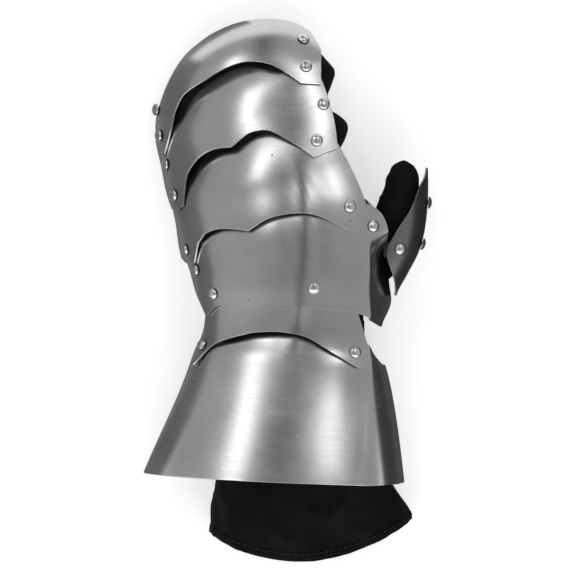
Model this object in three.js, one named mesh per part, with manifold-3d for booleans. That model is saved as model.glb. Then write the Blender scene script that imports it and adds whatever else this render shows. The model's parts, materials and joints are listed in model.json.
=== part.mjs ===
// Left-hand clamshell gauntlet of plain satin steel over a black glove, lying palm down.
// Millimetres, +Z up, +Y towards the fingertips, +X towards the thumb.

import * as THREE from 'three';
import { mergeVertices } from 'three/addons/utils/BufferGeometryUtils.js';
import Module from 'manifold-3d';

const wasm = await Module();
wasm.setup();

// Overall sizes of the hand
const HAND_WIDTH = 100;          // across the finger pivots; plate outlines are shares of it
const KNUCKLE_REACH = 78;        // wrist pivots to knuckle pivots
const REAR_FINGER_PITCH = 41.5;  // knuckle pivots to middle finger pivots
const FRONT_FINGER_PITCH = 43.5; // middle finger pivots to fingertip pivots
const TIP_REACH = 47;            // fingertip pivots to the front of the dome
const CUFF_LENGTH = 84;          // wrist pivots to the rim of the bell
const HEM_REACH = 53;            // how far the glove hangs out past the rim

// Steel sheet, fits and motion
const SHEET = 1.3;               // plate thickness
const FIT = 0.45;                // gap between two lapped plates at their pivots
const SLIDE_FIT = 1.25;          // gap between the hand plate and the band sliding under it
const CURL_ROOM = THREE.MathUtils.degToRad(19);  // fall-away of a hidden front edge, past 14 of curl
const WRIST_BACK_ROOM = 0.17;    // rise of the band's ends for each millimetre behind the pivots
const SLIDE_BACK = 3;            // travel of the hand plate towards the wrist
const SLIDE_OUT = 3;             // travel of the hand plate away from the wrist

// Rivets
const RIVET = {
  headRadius: 4,
  headHeight: 2.3,
  shankRadius: 1.6,
  tailRadius: 2.9,
  tailHeight: 1,
  seat: 0.4,                     // gap under the head
  holeFit: 0.25,                 // radial gap in a fixed hole
  pivotFit: 0.95,                // radial gap in the hole a pivot turns in
  pivotRoom: 2.4,                // gap between the inner plate and a pivot's tail
  sides: 12,
  domeSteps: 3,
};

// Leather and glove
const STRAP_THICKNESS = 1.6;
const STRAP_WIDTH = 10;
const STRAP_FIT = 0.5;
const STRAP_LIP = 4;             // strap between a rivet and its bend
const STRAP_END = 5;             // strap left over past a rivet
const GLOVE_WALL = 2;
const GLOVE_SAG = 24;            // how far the soft sleeve sags below the cuff at the rim
const HIDDEN_ROOM = 2.3;         // glove below the hidden front of a plate
const TOUCH = 0.4;               // gap between two soft pieces that lie against each other

// Bend of the hand in plan: the fingers lean away from the thumb
const WRIST_LEAN = THREE.MathUtils.degToRad(-2.6);
const HAND_BEND = THREE.MathUtils.degToRad(28.9);
const BEND_RUN = 218;
const SPINE_STEPS = 24;

// Stations along the hand, measured from the wrist pivots
const WRIST_S = 0;
const KNUCKLE_S = KNUCKLE_REACH;
const MIDDLE_S = KNUCKLE_S + REAR_FINGER_PITCH;
const FRONT_S = MIDDLE_S + FRONT_FINGER_PITCH;
const TIP_S = FRONT_S + TIP_REACH;
const PALM_SHARE = 0.75;
const PALM_S = KNUCKLE_S * PALM_SHARE;
const ARCH_SHARE = 0.7;
const ARCH_S = KNUCKLE_S + REAR_FINGER_PITCH * ARCH_SHARE;

// Cross-sections of the vault that all plates follow: crown height, half widths to the little-finger
// side (left) and thumb side (right), fall from the crown to the side, and sideways place of the crown
const RIM_SECTION = { s: -CUFF_LENGTH, crown: 90, left: 91, right: 104, rise: 52, shift: 5 };
const WRIST_SECTION = { s: WRIST_S, crown: 66, left: 68, right: 76, rise: 40, shift: 12 };
const PALM_SECTION = { s: PALM_S, crown: 71, left: 72, right: 96, rise: 54, shift: 15 };
const KNUCKLE_SECTION = { s: ARCH_S, crown: 67.5, left: 75, right: 100, rise: 62, shift: 15 };
const FINGER_SECTION = { s: FRONT_S, crown: 57, left: 73, right: 95, rise: 60, shift: 22 };
const TIP_SECTION = { s: TIP_S, crown: 44, left: 72, right: 90, rise: 55, shift: 24 };
const SECTIONS = [
  RIM_SECTION, WRIST_SECTION, PALM_SECTION, KNUCKLE_SECTION, FINGER_SECTION, TIP_SECTION,
];
const SIDE_LIMIT_SHARE = 0.985;  // the vault is followed this far towards its upright side

// Domed front of the fingertip plate
const DOME = { drop: 34, halfWidth: 61, centre: 17, startShare: 0.35, steepShare: 0.95, power: 2.3 };

const STEEL = { color: 0xa9abae, roughness: 0.32, metalness: 1 };
const DARK_STEEL = { color: 0x6d6f70, roughness: 0.36, metalness: 1 };
const RIVET_STEEL = { color: 0xb9bbbd, roughness: 0.22, metalness: 1 };
const LEATHER = { color: 0x1c1a19, roughness: 0.75, metalness: 0 };
const GLOVE_CLOTH = { color: 0x121213, roughness: 0.95, metalness: 0 };

const gauntlet = new THREE.Group();

// Smooth value of a cross-section size at station s, by cubic Hermite pieces
function sectionSize(s, key) {
  let i = 0;
  while (i < SECTIONS.length - 2 && s > SECTIONS[i + 1].s) i += 1;
  const here = SECTIONS[i];
  const next = SECTIONS[i + 1];
  const span = next.s - here.s;
  const slopeAt = (k) => {
    const low = SECTIONS[Math.max(k - 1, 0)];
    const high = SECTIONS[Math.min(k + 1, SECTIONS.length - 1)];
    return (high[key] - low[key]) / (high.s - low.s);
  };
  const t = (s - here.s) / span;
  const t2 = t * t;
  const t3 = t2 * t;
  return (2 * t3 - 3 * t2 + 1) * here[key] + (t3 - 2 * t2 + t) * span * slopeAt(i)
    + (3 * t2 - 2 * t3) * next[key] + (t3 - t2) * span * slopeAt(i + 1);
}

// Lean of the cross direction at station s, and the middle line's place in plan
function leanAt(s) {
  const t = THREE.MathUtils.clamp(s / BEND_RUN, 0, 1);
  return WRIST_LEAN + HAND_BEND * (2 * t - t * t);
}

function spineAt(s) {
  const step = s / SPINE_STEPS;
  let x = 0;
  let y = 0;
  for (let i = 0; i < SPINE_STEPS; i += 1) {
    const lean = leanAt((i + 0.5) * step);
    x -= Math.sin(lean) * step;
    y += Math.cos(lean) * step;
  }
  return new THREE.Vector2(x, y);
}

// A point w across and s along the hand, at height z
function handPoint(w, s, z) {
  const lean = leanAt(s);
  const middle = spineAt(s);
  return new THREE.Vector3(middle.x + w * Math.cos(lean), middle.y + w * Math.sin(lean), z);
}

// Height of the vault at (w, s)
function vaultHeight(w, s) {
  const x = w - sectionSize(s, 'shift');
  const reach = x < 0 ? sectionSize(s, 'left') : sectionSize(s, 'right');
  const share = Math.min(Math.abs(x) / reach, SIDE_LIMIT_SHARE);
  return sectionSize(s, 'crown') - sectionSize(s, 'rise') * (1 - Math.sqrt(1 - share * share));
}

function vaultPoint(w, s) {
  return handPoint(w, s, vaultHeight(w, s));
}

// Outward normal of a surface given as a function of (w, s)
const PROBE_SHARE = 0.002;
const PROBE = HAND_WIDTH * PROBE_SHARE;
function surfaceNormal(surface, w, s) {
  const across = surface(w + PROBE, s).sub(surface(w - PROBE, s));
  const along = surface(w, s + PROBE).sub(surface(w, s - PROBE));
  return across.cross(along).normalize();
}

// The surface that lies under the vault by depth(w, s)
function sunkSurface(depth) {
  return (w, s) => {
    const normal = surfaceNormal(vaultPoint, w, s);
    return vaultPoint(w, s).addScaledVector(normal, -depth(w, s));
  };
}

// How far a plate falls away in front of the pivots that the plate above it turns on, softly at
// the crown and sharply at the pivots
const CROWN_SOFT_SHARE = 0.16;
function fallAway(w, ahead, halfSpan, middle) {
  const offCentre = Math.min(Math.abs(w - middle) / halfSpan, 1);
  const softness = SHEET * 2 + HAND_WIDTH * CROWN_SOFT_SHARE * (1 - offCentre * offCentre);
  return Math.tan(CURL_ROOM) * (ahead + Math.hypot(ahead, softness)) / 2;
}

function smoothStep(from, to, value) {
  const t = THREE.MathUtils.clamp((value - from) / (to - from), 0, 1);
  return t * t * (3 - 2 * t);
}

// Solids and meshes

function solidFrom(positions, indices) {
  const geometry = new THREE.BufferGeometry();
  geometry.setAttribute('position', new THREE.Float32BufferAttribute(positions, 3));
  geometry.setIndex(indices);
  return toSolid(geometry);
}

function toSolid(source) {
  const geometry = source.clone();
  geometry.deleteAttribute('normal');
  geometry.deleteAttribute('uv');
  const merged = mergeVertices(geometry);
  return new wasm.Manifold(new wasm.Mesh({
    numProp: 3,
    vertProperties: new Float32Array(merged.attributes.position.array),
    triVerts: new Uint32Array(merged.index.array),
  }));
}

function addMesh(name, solid, finish) {
  const mesh = solid.getMesh();
  const geometry = new THREE.BufferGeometry();
  geometry.setAttribute('position', new THREE.Float32BufferAttribute(mesh.vertProperties, 3));
  geometry.setIndex(new THREE.Uint32BufferAttribute(mesh.triVerts, 1));
  geometry.computeVertexNormals();
  const node = new THREE.Mesh(geometry, new THREE.MeshStandardMaterial(finish));
  node.name = name;
  gauntlet.add(node);
  return node;
}

// A closed sheet from two grids of points, outer[row][column] and inner[row][column].
// With wrap the columns close into a ring.
function sheetSolid(outer, inner, wrap) {
  const rows = outer.length;
  const columns = outer[0].length;
  const positions = [];
  for (const grid of [outer, inner]) {
    for (const row of grid) {
      for (const point of row) positions.push(point.x, point.y, point.z);
    }
  }
  const top = (r, c) => r * columns + (c % columns);
  const under = (r, c) => rows * columns + top(r, c);
  const indices = [];
  const quad = (a, b, c, d) => indices.push(a, b, c, a, c, d);
  const last = wrap ? columns : columns - 1;
  for (let c = 0; c < last; c += 1) {
    for (let r = 0; r < rows - 1; r += 1) {
      quad(top(r, c), top(r, c + 1), top(r + 1, c + 1), top(r + 1, c));
      quad(under(r, c), under(r + 1, c), under(r + 1, c + 1), under(r, c + 1));
    }
    quad(top(0, c), under(0, c), under(0, c + 1), top(0, c + 1));
    quad(top(rows - 1, c), top(rows - 1, c + 1), under(rows - 1, c + 1), under(rows - 1, c));
  }
  if (!wrap) {
    for (let r = 0; r < rows - 1; r += 1) {
      quad(top(r, 0), top(r + 1, 0), under(r + 1, 0), under(r, 0));
      quad(top(r, last), under(r, last), under(r + 1, last), top(r + 1, last));
    }
  }
  return solidFrom(positions, indices);
}

// A plate: columns run from its rear edge to its front edge over a surface of (w, s)
const PLATE_ROWS = 7;
function plateSolid(surface, columns, rows = PLATE_ROWS) {
  const outer = [];
  const inner = [];
  for (let r = 0; r <= rows; r += 1) {
    const v = r / rows;
    outer.push(columns.map((column) => surface(...column(v))));
    inner.push(columns.map((column) => {
      const [w, s] = column(v);
      return surface(w, s).addScaledVector(surfaceNormal(surface, w, s), -SHEET);
    }));
  }
  return sheetSolid(outer, inner, false);
}

// Points along an edge made of smooth runs that meet at corners, given as shares of the hand's width
function edgePoints(runs, pivotS, samples) {
  const points = [];
  for (const run of runs) {
    const curve = new THREE.SplineCurve(run.map(([w, s]) => new THREE.Vector2(w, s)));
    const steps = run.length > 2 ? samples : 1;
    for (let i = points.length ? 1 : 0; i <= steps; i += 1) {
      const point = curve.getPoint(i / steps);
      points.push([point.x * HAND_WIDTH, pivotS + point.y * HAND_WIDTH]);
    }
  }
  return points;
}

// Straight columns between a rear edge and a front edge, with both sides bowed out
const BOW_SHARPNESS = 6;
function columnsBetween(rear, front, leftBow, rightBow) {
  return rear.map(([rearW, rearS], i) => {
    const [frontW, frontS] = front[i];
    const share = i / (rear.length - 1);
    const bow = rightBow * share ** BOW_SHARPNESS - leftBow * (1 - share) ** BOW_SHARPNESS;
    return (v) => [
      rearW + (frontW - rearW) * v + bow * 4 * v * (1 - v),
      rearS + (frontS - rearS) * v,
    ];
  });
}

// Placement of a rivet: its z axis leaves the surface at (w, s)
function rivetFrame(surface, w, s) {
  const normal = surfaceNormal(surface, w, s);
  const along = surface(w, s + PROBE).sub(surface(w, s - PROBE)).normalize();
  const across = new THREE.Vector3().crossVectors(along, normal).normalize();
  const frame = new THREE.Matrix4().makeBasis(across, along, normal);
  return frame.setPosition(surface(w, s));
}

function rivetSolid(frame, grip) {
  const profile = [
    new THREE.Vector2(0, -grip - RIVET.tailHeight),
    new THREE.Vector2(RIVET.tailRadius, -grip - RIVET.tailHeight),
    new THREE.Vector2(RIVET.tailRadius, -grip),
    new THREE.Vector2(RIVET.shankRadius, -grip),
    new THREE.Vector2(RIVET.shankRadius, RIVET.seat),
  ];
  for (let i = 0; i <= RIVET.domeSteps; i += 1) {
    const angle = (i / RIVET.domeSteps) * Math.PI / 2;
    profile.push(new THREE.Vector2(
      i === RIVET.domeSteps ? 0 : RIVET.headRadius * Math.cos(angle),
      RIVET.seat + RIVET.headHeight * Math.sin(angle),
    ));
  }
  const geometry = new THREE.LatheGeometry(profile, RIVET.sides);
  geometry.rotateX(Math.PI / 2);
  geometry.applyMatrix4(frame);
  return toSolid(geometry);
}

// A drill of the given radius along a rivet's axis, drawn out along the hand by travel each way
const DRILL_REACH = SHEET * 6;
function drillSolid(frame, radius, back = 0, forward = 0) {
  const outline = new THREE.Shape();
  outline.absarc(0, forward, radius, 0, Math.PI, false);
  outline.absarc(0, -back, radius, Math.PI, Math.PI * 2, false);
  const geometry = new THREE.ExtrudeGeometry(outline, {
    depth: DRILL_REACH * 2,
    bevelEnabled: false,
    curveSegments: RIVET.sides / 2,
  });
  geometry.translate(0, 0, -DRILL_REACH);
  geometry.applyMatrix4(frame);
  return toSolid(geometry);
}

// Depth under the vault of each plate's outer surface
const LAP = SHEET + FIT;
const TAIL_REACH = 15;           // how far a plate's corners reach back past its pivots

function fingerDepth(rearS, frontS, halfSpan, middle) {
  return (w, s) => LAP * smoothStep(rearS, frontS - TAIL_REACH, s)
    + fallAway(w, s - frontS, halfSpan, middle);
}

// Fingertip plate
function domeDrop(w, s) {
  const ahead = Math.max(0, s - FRONT_S) / TIP_REACH;
  const aside = Math.abs(w - DOME.centre) / DOME.halfWidth;
  const radius = (ahead ** DOME.power + aside ** DOME.power) ** (1 / DOME.power);
  const share = THREE.MathUtils.clamp((radius - DOME.startShare) / (1 - DOME.startShare), 0, 1);
  const steep = share * DOME.steepShare;
  return DOME.drop * Math.min(ahead, 1) * (1 - Math.sqrt(1 - steep * steep));
}
const tipSurface = (w, s) => {
  const point = vaultPoint(w, s);
  point.z -= domeDrop(w, s);
  return point;
};
const TIP_REAR_SHARES = [
  [[-0.466, -0.146], [-0.435, -0.11], [-0.348, -0.003], [-0.266, 0.101], [-0.167, 0.172], [-0.02, 0.19]],
  [[-0.02, 0.19], [0.09, 0.202], [0.2, 0.2], [0.309, 0.173], [0.432, 0.088], [0.548, -0.085]],
  [[0.548, -0.085], [0.664, -0.138]],
];
const TIP_FRONT_SHARES = [
  [[-0.455, 0.02], [-0.415, 0.11], [-0.33, 0.21], [-0.2, 0.325], [-0.04, 0.418], [0.15, 0.463]],
  [[0.15, 0.463], [0.3, 0.462], [0.45, 0.427], [0.6, 0.356], [0.7, 0.275], [0.754, 0.19]],
  [[0.754, 0.19], [0.763, 0.06]],
];
const TIP_RIVET_SHARES = {
  pivotLeft: [-0.432, 0],
  pivotRight: [0.624, 0],
  strapLeft: [-0.378, 0.172],
  strapRight: [0.686, 0.162],
};

// Middle and rear finger plates, and the hand plate
const MIDDLE_REAR_SHARES = [
  [[-0.54, -0.085], [-0.528, -0.105], [-0.509, -0.118]],
  [[-0.509, -0.118], [-0.463, -0.101]],
  [[-0.463, -0.101], [-0.393, 0.057], [-0.343, 0.127], [-0.258, 0.181], [-0.147, 0.192], [-0.035, 0.158]],
  [[-0.035, 0.158], [0.099, 0.198], [0.193, 0.184], [0.258, 0.145], [0.388, -0.012], [0.443, -0.088]],
  [[0.443, -0.088], [0.61, -0.084]],
];
const MIDDLE_RIVET_SHARES = {
  pivotLeft: [-0.492, 0],
  pivotRight: [0.501, 0],
  strapLeft: [-0.482, 0.235],
  strapRight: [0.632, 0.187],
};
const REAR_REAR_SHARES = [
  [[-0.572, -0.06], [-0.545, -0.105], [-0.496, -0.127]],
  [[-0.496, -0.127], [-0.44, 0.016]],
  [[-0.44, 0.016], [-0.4, 0.055], [-0.372, 0.073], [-0.295, 0.079], [-0.199, 0.051], [-0.101, 0.009]],
  [[-0.101, 0.009], [0.026, 0.051], [0.143, 0.053], [0.26, 0.033], [0.376, -0.016], [0.552, -0.146]],
  [[0.552, -0.146], [0.684, -0.08]],
];
const REAR_RIVET_SHARES = { pivotLeft: [-0.528, 0], pivotRight: [0.575, 0] };
const HAND_REAR_SHARES = [
  [[-0.464, 0.235], [-0.415, 0.287], [-0.34, 0.315], [-0.129, 0.305], [0.061, 0.276]],
  [[0.061, 0.276], [0.243, 0.24], [0.36, 0.222], [0.44, 0.208], [0.609, 0.165]],
];
const HAND_RIVET_SHARES = {
  slideLeft: [-0.406, 0.404],
  slideRight: [0.252, 0.362],
  sideLeft: [-0.506, 0.607],
  thumb: [0.703, 0.649],
};
const MIDDLE_SIDES = { frontLeft: -47, frontRight: 68, leftBow: 2, rightBow: 3.5 };
const REAR_SIDES = { frontLeft: -53, frontRight: 59, leftBow: 1, rightBow: 2 };
const SIDE_LAP = 9;              // hidden length ahead of the pivots at the sides
const LAP_LENGTH = 6;            // hidden length past the rear edge of the plate above
const LAP_SPREAD = 4;            // how far its scallops are smoothed out
const EDGE_SAMPLES = 7;

// Hidden front edge, a lap's length past the rear edge of the plate that lies over it
function hiddenFront(rear, leftW, rightW, pivotS, cover) {
  const rearLeft = rear[0][0];
  const rearRight = rear[rear.length - 1][0];
  const coverAt = (w) => {
    for (let i = 1; i < cover.length; i += 1) {
      const [fromW, fromS] = cover[i - 1];
      const [toW, toS] = cover[i];
      if (w >= fromW && w <= toW) return THREE.MathUtils.mapLinear(w, fromW, toW, fromS, toS);
    }
    return pivotS;
  };
  return rear.map(([w]) => {
    const frontW = THREE.MathUtils.mapLinear(w, rearLeft, rearRight, leftW, rightW);
    const near = [-2, -1, 0, 1, 2].map((k) => coverAt(frontW + k * LAP_SPREAD));
    const middle = near.reduce((sum, value) => sum + value, 0) / near.length;
    return [frontW, Math.max(pivotS + SIDE_LAP, middle + LAP_LENGTH)];
  });
}

function rivetPlaces(shares, pivotS) {
  return Object.fromEntries(Object.entries(shares).map(
    ([key, [w, s]]) => [key, [w * HAND_WIDTH, pivotS + s * HAND_WIDTH]],
  ));
}

const tipRivets = rivetPlaces(TIP_RIVET_SHARES, FRONT_S);
const middleRivets = rivetPlaces(MIDDLE_RIVET_SHARES, MIDDLE_S);
const rearRivets = rivetPlaces(REAR_RIVET_SHARES, KNUCKLE_S);
const handRivets = rivetPlaces(HAND_RIVET_SHARES, WRIST_S);

function pivotSpan({ pivotLeft, pivotRight }) {
  return { half: (pivotRight[0] - pivotLeft[0]) / 2, middle: (pivotRight[0] + pivotLeft[0]) / 2 };
}

const tipSpan = pivotSpan(tipRivets);
const middleSpan = pivotSpan(middleRivets);
const rearSpan = pivotSpan(rearRivets);

const middleDepth = fingerDepth(MIDDLE_S, FRONT_S, tipSpan.half, tipSpan.middle);
const middleSurface = sunkSurface((w, s) => middleDepth(w, s) + domeDrop(w, s));
const rearSurface = sunkSurface(fingerDepth(KNUCKLE_S, MIDDLE_S, middleSpan.half, middleSpan.middle));
const HAND_SINK_SHARE = 0.5;     // where the hand plate starts to sink below the vault
const handDepth = fingerDepth(KNUCKLE_S * HAND_SINK_SHARE, KNUCKLE_S, rearSpan.half, rearSpan.middle);
const handVault = sunkSurface(handDepth);

// Hand plate: past the crease its thumb side folds down into a wing, which opens into a flat tab
const CREASE = { rearW: 61, waistW: 60, frontW: 69, waistS: 32 };
const WING = {
  foldAngle: THREE.MathUtils.degToRad(62),
  tabAngle: THREE.MathUtils.degToRad(24),
  foldEnd: 50,
  tabStart: 63,
  reach: 34,
  reachShares: [0.45, 0.97, 0.95, 0.55, 0.42, 0.33, 0.02],
  sweepBack: 3.5,
  columns: 3,
};
function creaseAt(s) {
  return s < CREASE.waistS
    ? THREE.MathUtils.mapLinear(s, WRIST_S, CREASE.waistS, CREASE.rearW, CREASE.waistW)
    : THREE.MathUtils.mapLinear(s, CREASE.waistS, KNUCKLE_S, CREASE.waistW, CREASE.frontW);
}
const handSurface = (w, s) => {
  const crease = creaseAt(s);
  if (w <= crease) return handVault(w, s);
  const out = w - crease;
  const open = smoothStep(WING.foldEnd, WING.tabStart, s);
  const fold = THREE.MathUtils.lerp(WING.foldAngle, WING.tabAngle, open);
  const lean = leanAt(s);
  return handVault(crease, s).add(new THREE.Vector3(
    out * Math.cos(fold) * Math.cos(lean),
    out * Math.cos(fold) * Math.sin(lean),
    -out * Math.sin(fold),
  ));
};

const HAND_FRONT_SHARE = -0.57;
const HAND_BOW = 2.5;
const TAB_FRONT = 2;             // front of the thumb tab, past the knuckle pivots
function handColumns() {
  const rear = edgePoints(HAND_REAR_SHARES, WRIST_S, EDGE_SAMPLES);
  const frontS = KNUCKLE_S + TAB_FRONT;
  const front = hiddenFront(
    rear,
    HAND_FRONT_SHARE * HAND_WIDTH,
    creaseAt(frontS),
    KNUCKLE_S,
    edgePoints(REAR_REAR_SHARES, KNUCKLE_S, EDGE_SAMPLES),
  );
  front[front.length - 1] = [creaseAt(frontS), frontS];
  const columns = columnsBetween(rear, front, HAND_BOW, 0);
  const last = rear.length - 1;
  columns[last] = (v) => {
    const s = THREE.MathUtils.lerp(rear[last][1], frontS, v);
    return [creaseAt(s), s];
  };
  const reach = new THREE.SplineCurve(WING.reachShares.map(
    (share, i) => new THREE.Vector2(i / (WING.reachShares.length - 1), share),
  ));
  for (let c = 1; c <= WING.columns; c += 1) {
    const q = c / WING.columns;
    columns.push((v) => {
      const [crease, s] = columns[last](v);
      const out = reach.getPoint(v).y * WING.reach * q;
      return [crease + out, s - WING.sweepBack * q * (1 - v) ** 3];
    });
  }
  return columns;
}

// Sliding band at the wrist: over the cuff behind, under the hand plate in front
const BAND = {
  rearEnd: 8,                    // where the band starts to dip under the hand plate
  frontS: 51,
  frontLeftShare: -0.45,
  frontRightShare: 0.42,
};
const BAND_REAR_SHARES = [
  [[-0.54, -0.1], [-0.532, -0.133], [-0.5, -0.092], [-0.42, 0.013], [-0.322, 0.064], [-0.17, 0.103]],
  [[-0.17, 0.103], [-0.012, 0.109], [0.173, 0.081], [0.28, 0.032], [0.367, -0.013], [0.483, -0.08]],
  [[0.483, -0.08], [0.53, -0.098], [0.575, -0.075], [0.598, -0.01], [0.585, 0.05]],
];
const BAND_RIVET_SHARES = { pivotLeft: [-0.495, 0], pivotRight: [0.506, 0] };
const bandRivets = rivetPlaces(BAND_RIVET_SHARES, WRIST_S);
const BAND_SUNK = SHEET + SLIDE_FIT;
const bandDip = (s) => BAND_SUNK * smoothStep(-BAND.rearEnd, BAND.rearEnd * 2, s);
const bandSurface = sunkSurface((w, s) => {
  const behind = Math.max(0, -s);
  const rise = WRIST_BACK_ROOM * behind * behind / (behind + RIVET.headRadius);
  return bandDip(s) + handDepth(w, s + SLIDE_BACK) - rise;
});

function bandColumns() {
  const rear = edgePoints(BAND_REAR_SHARES, WRIST_S, EDGE_SAMPLES);
  const front = rear.map((point, i) => {
    const share = i / (rear.length - 1);
    const left = BAND.frontLeftShare * HAND_WIDTH;
    const right = BAND.frontRightShare * HAND_WIDTH;
    return [left + (right - left) * share, BAND.frontS];
  });
  return columnsBetween(rear, front, 0, 0);
}

// Bell cuff: a closed ring whose top follows the vault
const CUFF = {
  frontS: 15,                    // hidden under the band at the crown
  creaseRim: 59,
  creaseWrist: 60,
  sideRim: 87,
  sideWrist: 66,
  sideBelly: 0.6,                // below one, the thumb side bellies out
  floorWrist: 8,
  cornerShare: 0.62,             // how boxy the underside is
  sideHeightShare: 0.42,         // height of the widest line of the thumb side
  bulgeShare: 0.72,              // control point between the crease and that line
  bulgeHeightShare: 0.78,
  sideBack: 23,                  // how far the front edge is cut back at the thumb side
  leftBackShare: 0.35,           // and at the little-finger side, as a share of that
  rows: 8,
};
const CUFF_TOP_STEPS = 14;
const cuffDepth = (w, s) => LAP + bandDip(s) + fallAway(w, s - WRIST_S, HAND_WIDTH / 2, 0);

// Ring of the cuff at station s, sunk further by inset: left side over the top to the crease,
// down the thumb side, and back along the underside
function cuffRing(s, inset) {
  const along = (s - WRIST_S) / -CUFF_LENGTH;
  const shift = sectionSize(s, 'shift');
  const leftW = shift - sectionSize(s, 'left') * SIDE_LIMIT_SHARE;
  const crease = THREE.MathUtils.lerp(CUFF.creaseWrist, CUFF.creaseRim, along);
  const belly = Math.max(along, 0) ** CUFF.sideBelly;
  const side = THREE.MathUtils.lerp(CUFF.sideWrist, CUFF.sideRim, belly) - inset;
  const floor = THREE.MathUtils.lerp(CUFF.floorWrist, 0, THREE.MathUtils.clamp(along, 0, 1)) + inset;
  const ring = [];
  for (let i = 0; i <= CUFF_TOP_STEPS; i += 1) {
    const share = i / CUFF_TOP_STEPS;
    const w = share < 0.5
      ? shift + (leftW - shift) * Math.cos(share * Math.PI)
      : shift + (crease - shift) * (share * 2 - 1);
    const normal = surfaceNormal(vaultPoint, w, s);
    const point = vaultPoint(w, s).addScaledVector(normal, -cuffDepth(w, s) - inset);
    ring.push(point);
  }
  const creasePoint = ring[ring.length - 1];
  const middleZ = (creasePoint.z + floor) * CUFF.sideHeightShare;
  const thumbSide = handPoint(side, s, middleZ);
  const leftSide = ring[0];
  const bottomRight = handPoint(side * CUFF.cornerShare, s, floor);
  const bottomLeft = handPoint(leftW * CUFF.cornerShare, s, floor);
  const rightCorner = handPoint(side, s, floor);
  const leftCorner = handPoint(leftW + inset, s, floor);
  const bulgeW = THREE.MathUtils.lerp(crease, side, CUFF.bulgeShare);
  const bulge = handPoint(bulgeW, s, creasePoint.z * CUFF.bulgeHeightShare);
  const runs = [
    [creasePoint, bulge, thumbSide, 4],
    [thumbSide, rightCorner, bottomRight, 5],
    [bottomRight, bottomRight.clone().lerp(bottomLeft, 0.5), bottomLeft, 4],
    [bottomLeft, leftCorner, leftSide, 5],
  ];
  for (const [from, control, to, steps] of runs) {
    const curve = new THREE.QuadraticBezierCurve3(from, control, to);
    for (let i = 1; i <= steps; i += 1) ring.push(curve.getPoint(i / steps));
  }
  ring.pop();
  return ring;
}

// The front edge is square over the top and cut back from the crease round to the little-finger side
const CUT_BACK_SHARES = { left: 0.15, rightFrom: 0.75, rightTo: 1.25 };
function cuffFront(column) {
  const share = column / CUFF_TOP_STEPS;
  const right = smoothStep(CUT_BACK_SHARES.rightFrom, CUT_BACK_SHARES.rightTo, share);
  const left = 1 - smoothStep(0, CUT_BACK_SHARES.left, share);
  return CUFF.frontS - CUFF.sideBack * Math.max(right, left * CUFF.leftBackShare);
}

function cuffSolid() {
  const columns = cuffRing(WRIST_S, 0).length;
  const outer = [];
  const inner = [];
  for (let r = 0; r <= CUFF.rows; r += 1) {
    const v = r / CUFF.rows;
    const outerRow = [];
    const innerRow = [];
    for (let c = 0; c < columns; c += 1) {
      const s = THREE.MathUtils.lerp(-CUFF_LENGTH, cuffFront(c), v);
      outerRow.push(cuffRing(s, 0)[c]);
      innerRow.push(cuffRing(s, SHEET)[c]);
    }
    outer.push(outerRow);
    inner.push(innerRow);
  }
  return sheetSolid(outer, inner, true);
}

// Thumb plate: a leaf bent round the outside of the thumb. Along it, t runs from the lower point to
// the upper one; round it, the angle runs from the palm side over the outside to the back of the hand
const THUMB = {
  rearY: 34,
  frontY: 117.5,
  outerShares: [0.779, 0.85, 0.922, 0.962, 0.98, 0.987, 0.985],
  radius: 22,
  height: 17.5,
  middleZ: 32,
  nearAngles: [15, 57, 88, 82, 62, 45, 14],
  farAngles: [-12, -45, -62, -62, -50, -36, -8],
  cuspT: 0.4,
  columns: 10,
  rows: 14,
  hinge: { t: 0.362, angle: 66 },
  lower: { t: 0.405, angle: 4 },
  upper: { t: 0.728, angle: 4 },
};
function valueAlong(values, t) {
  const curve = new THREE.SplineCurve(values.map(
    (value, i) => new THREE.Vector2(i / (values.length - 1), value),
  ));
  return curve.getPoint(THREE.MathUtils.clamp(t, 0, 1)).y;
}
function thumbPoint(t, degrees, sunk = 0) {
  const angle = THREE.MathUtils.degToRad(degrees);
  const outerX = valueAlong(THUMB.outerShares, t) * HAND_WIDTH;
  return new THREE.Vector3(
    outerX - THUMB.radius + (THUMB.radius - sunk) * Math.cos(angle),
    THREE.MathUtils.lerp(THUMB.rearY, THUMB.frontY, t),
    THUMB.middleZ + (THUMB.height - sunk) * Math.sin(angle),
  );
}
const THUMB_PROBE_SHARE = 0.004;
function thumbNormal(t, degrees) {
  const along = thumbPoint(t + THUMB_PROBE_SHARE, degrees).sub(thumbPoint(t - THUMB_PROBE_SHARE, degrees));
  const round = thumbPoint(t, degrees + 1).sub(thumbPoint(t, degrees - 1));
  return along.cross(round).normalize();
}
function thumbSolid() {
  const outer = [];
  const inner = [];
  for (let r = 0; r <= THUMB.columns; r += 1) {
    const outerRow = [];
    const innerRow = [];
    for (let c = 0; c <= THUMB.rows; c += 1) {
      const t = c / THUMB.rows;
      const share = r / THUMB.columns;
      const degrees = THREE.MathUtils.lerp(
        valueAlong(THUMB.farAngles, t),
        valueAlong(THUMB.nearAngles, t),
        share,
      );
      const point = thumbPoint(t, degrees);
      outerRow.push(point);
      innerRow.push(point.clone().addScaledVector(thumbNormal(t, degrees), -SHEET));
    }
    outer.push(outerRow);
    inner.push(innerRow);
  }
  return sheetSolid(outer, inner, false);
}
function thumbRivetFrame({ t, angle }) {
  const normal = thumbNormal(t, angle);
  const before = thumbPoint(t - THUMB_PROBE_SHARE, angle);
  const ahead = thumbPoint(t + THUMB_PROBE_SHARE, angle).sub(before).normalize();
  const across = new THREE.Vector3().crossVectors(ahead, normal).normalize();
  const frame = new THREE.Matrix4().makeBasis(across, ahead, normal);
  return frame.setPosition(thumbPoint(t, angle));
}

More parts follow.
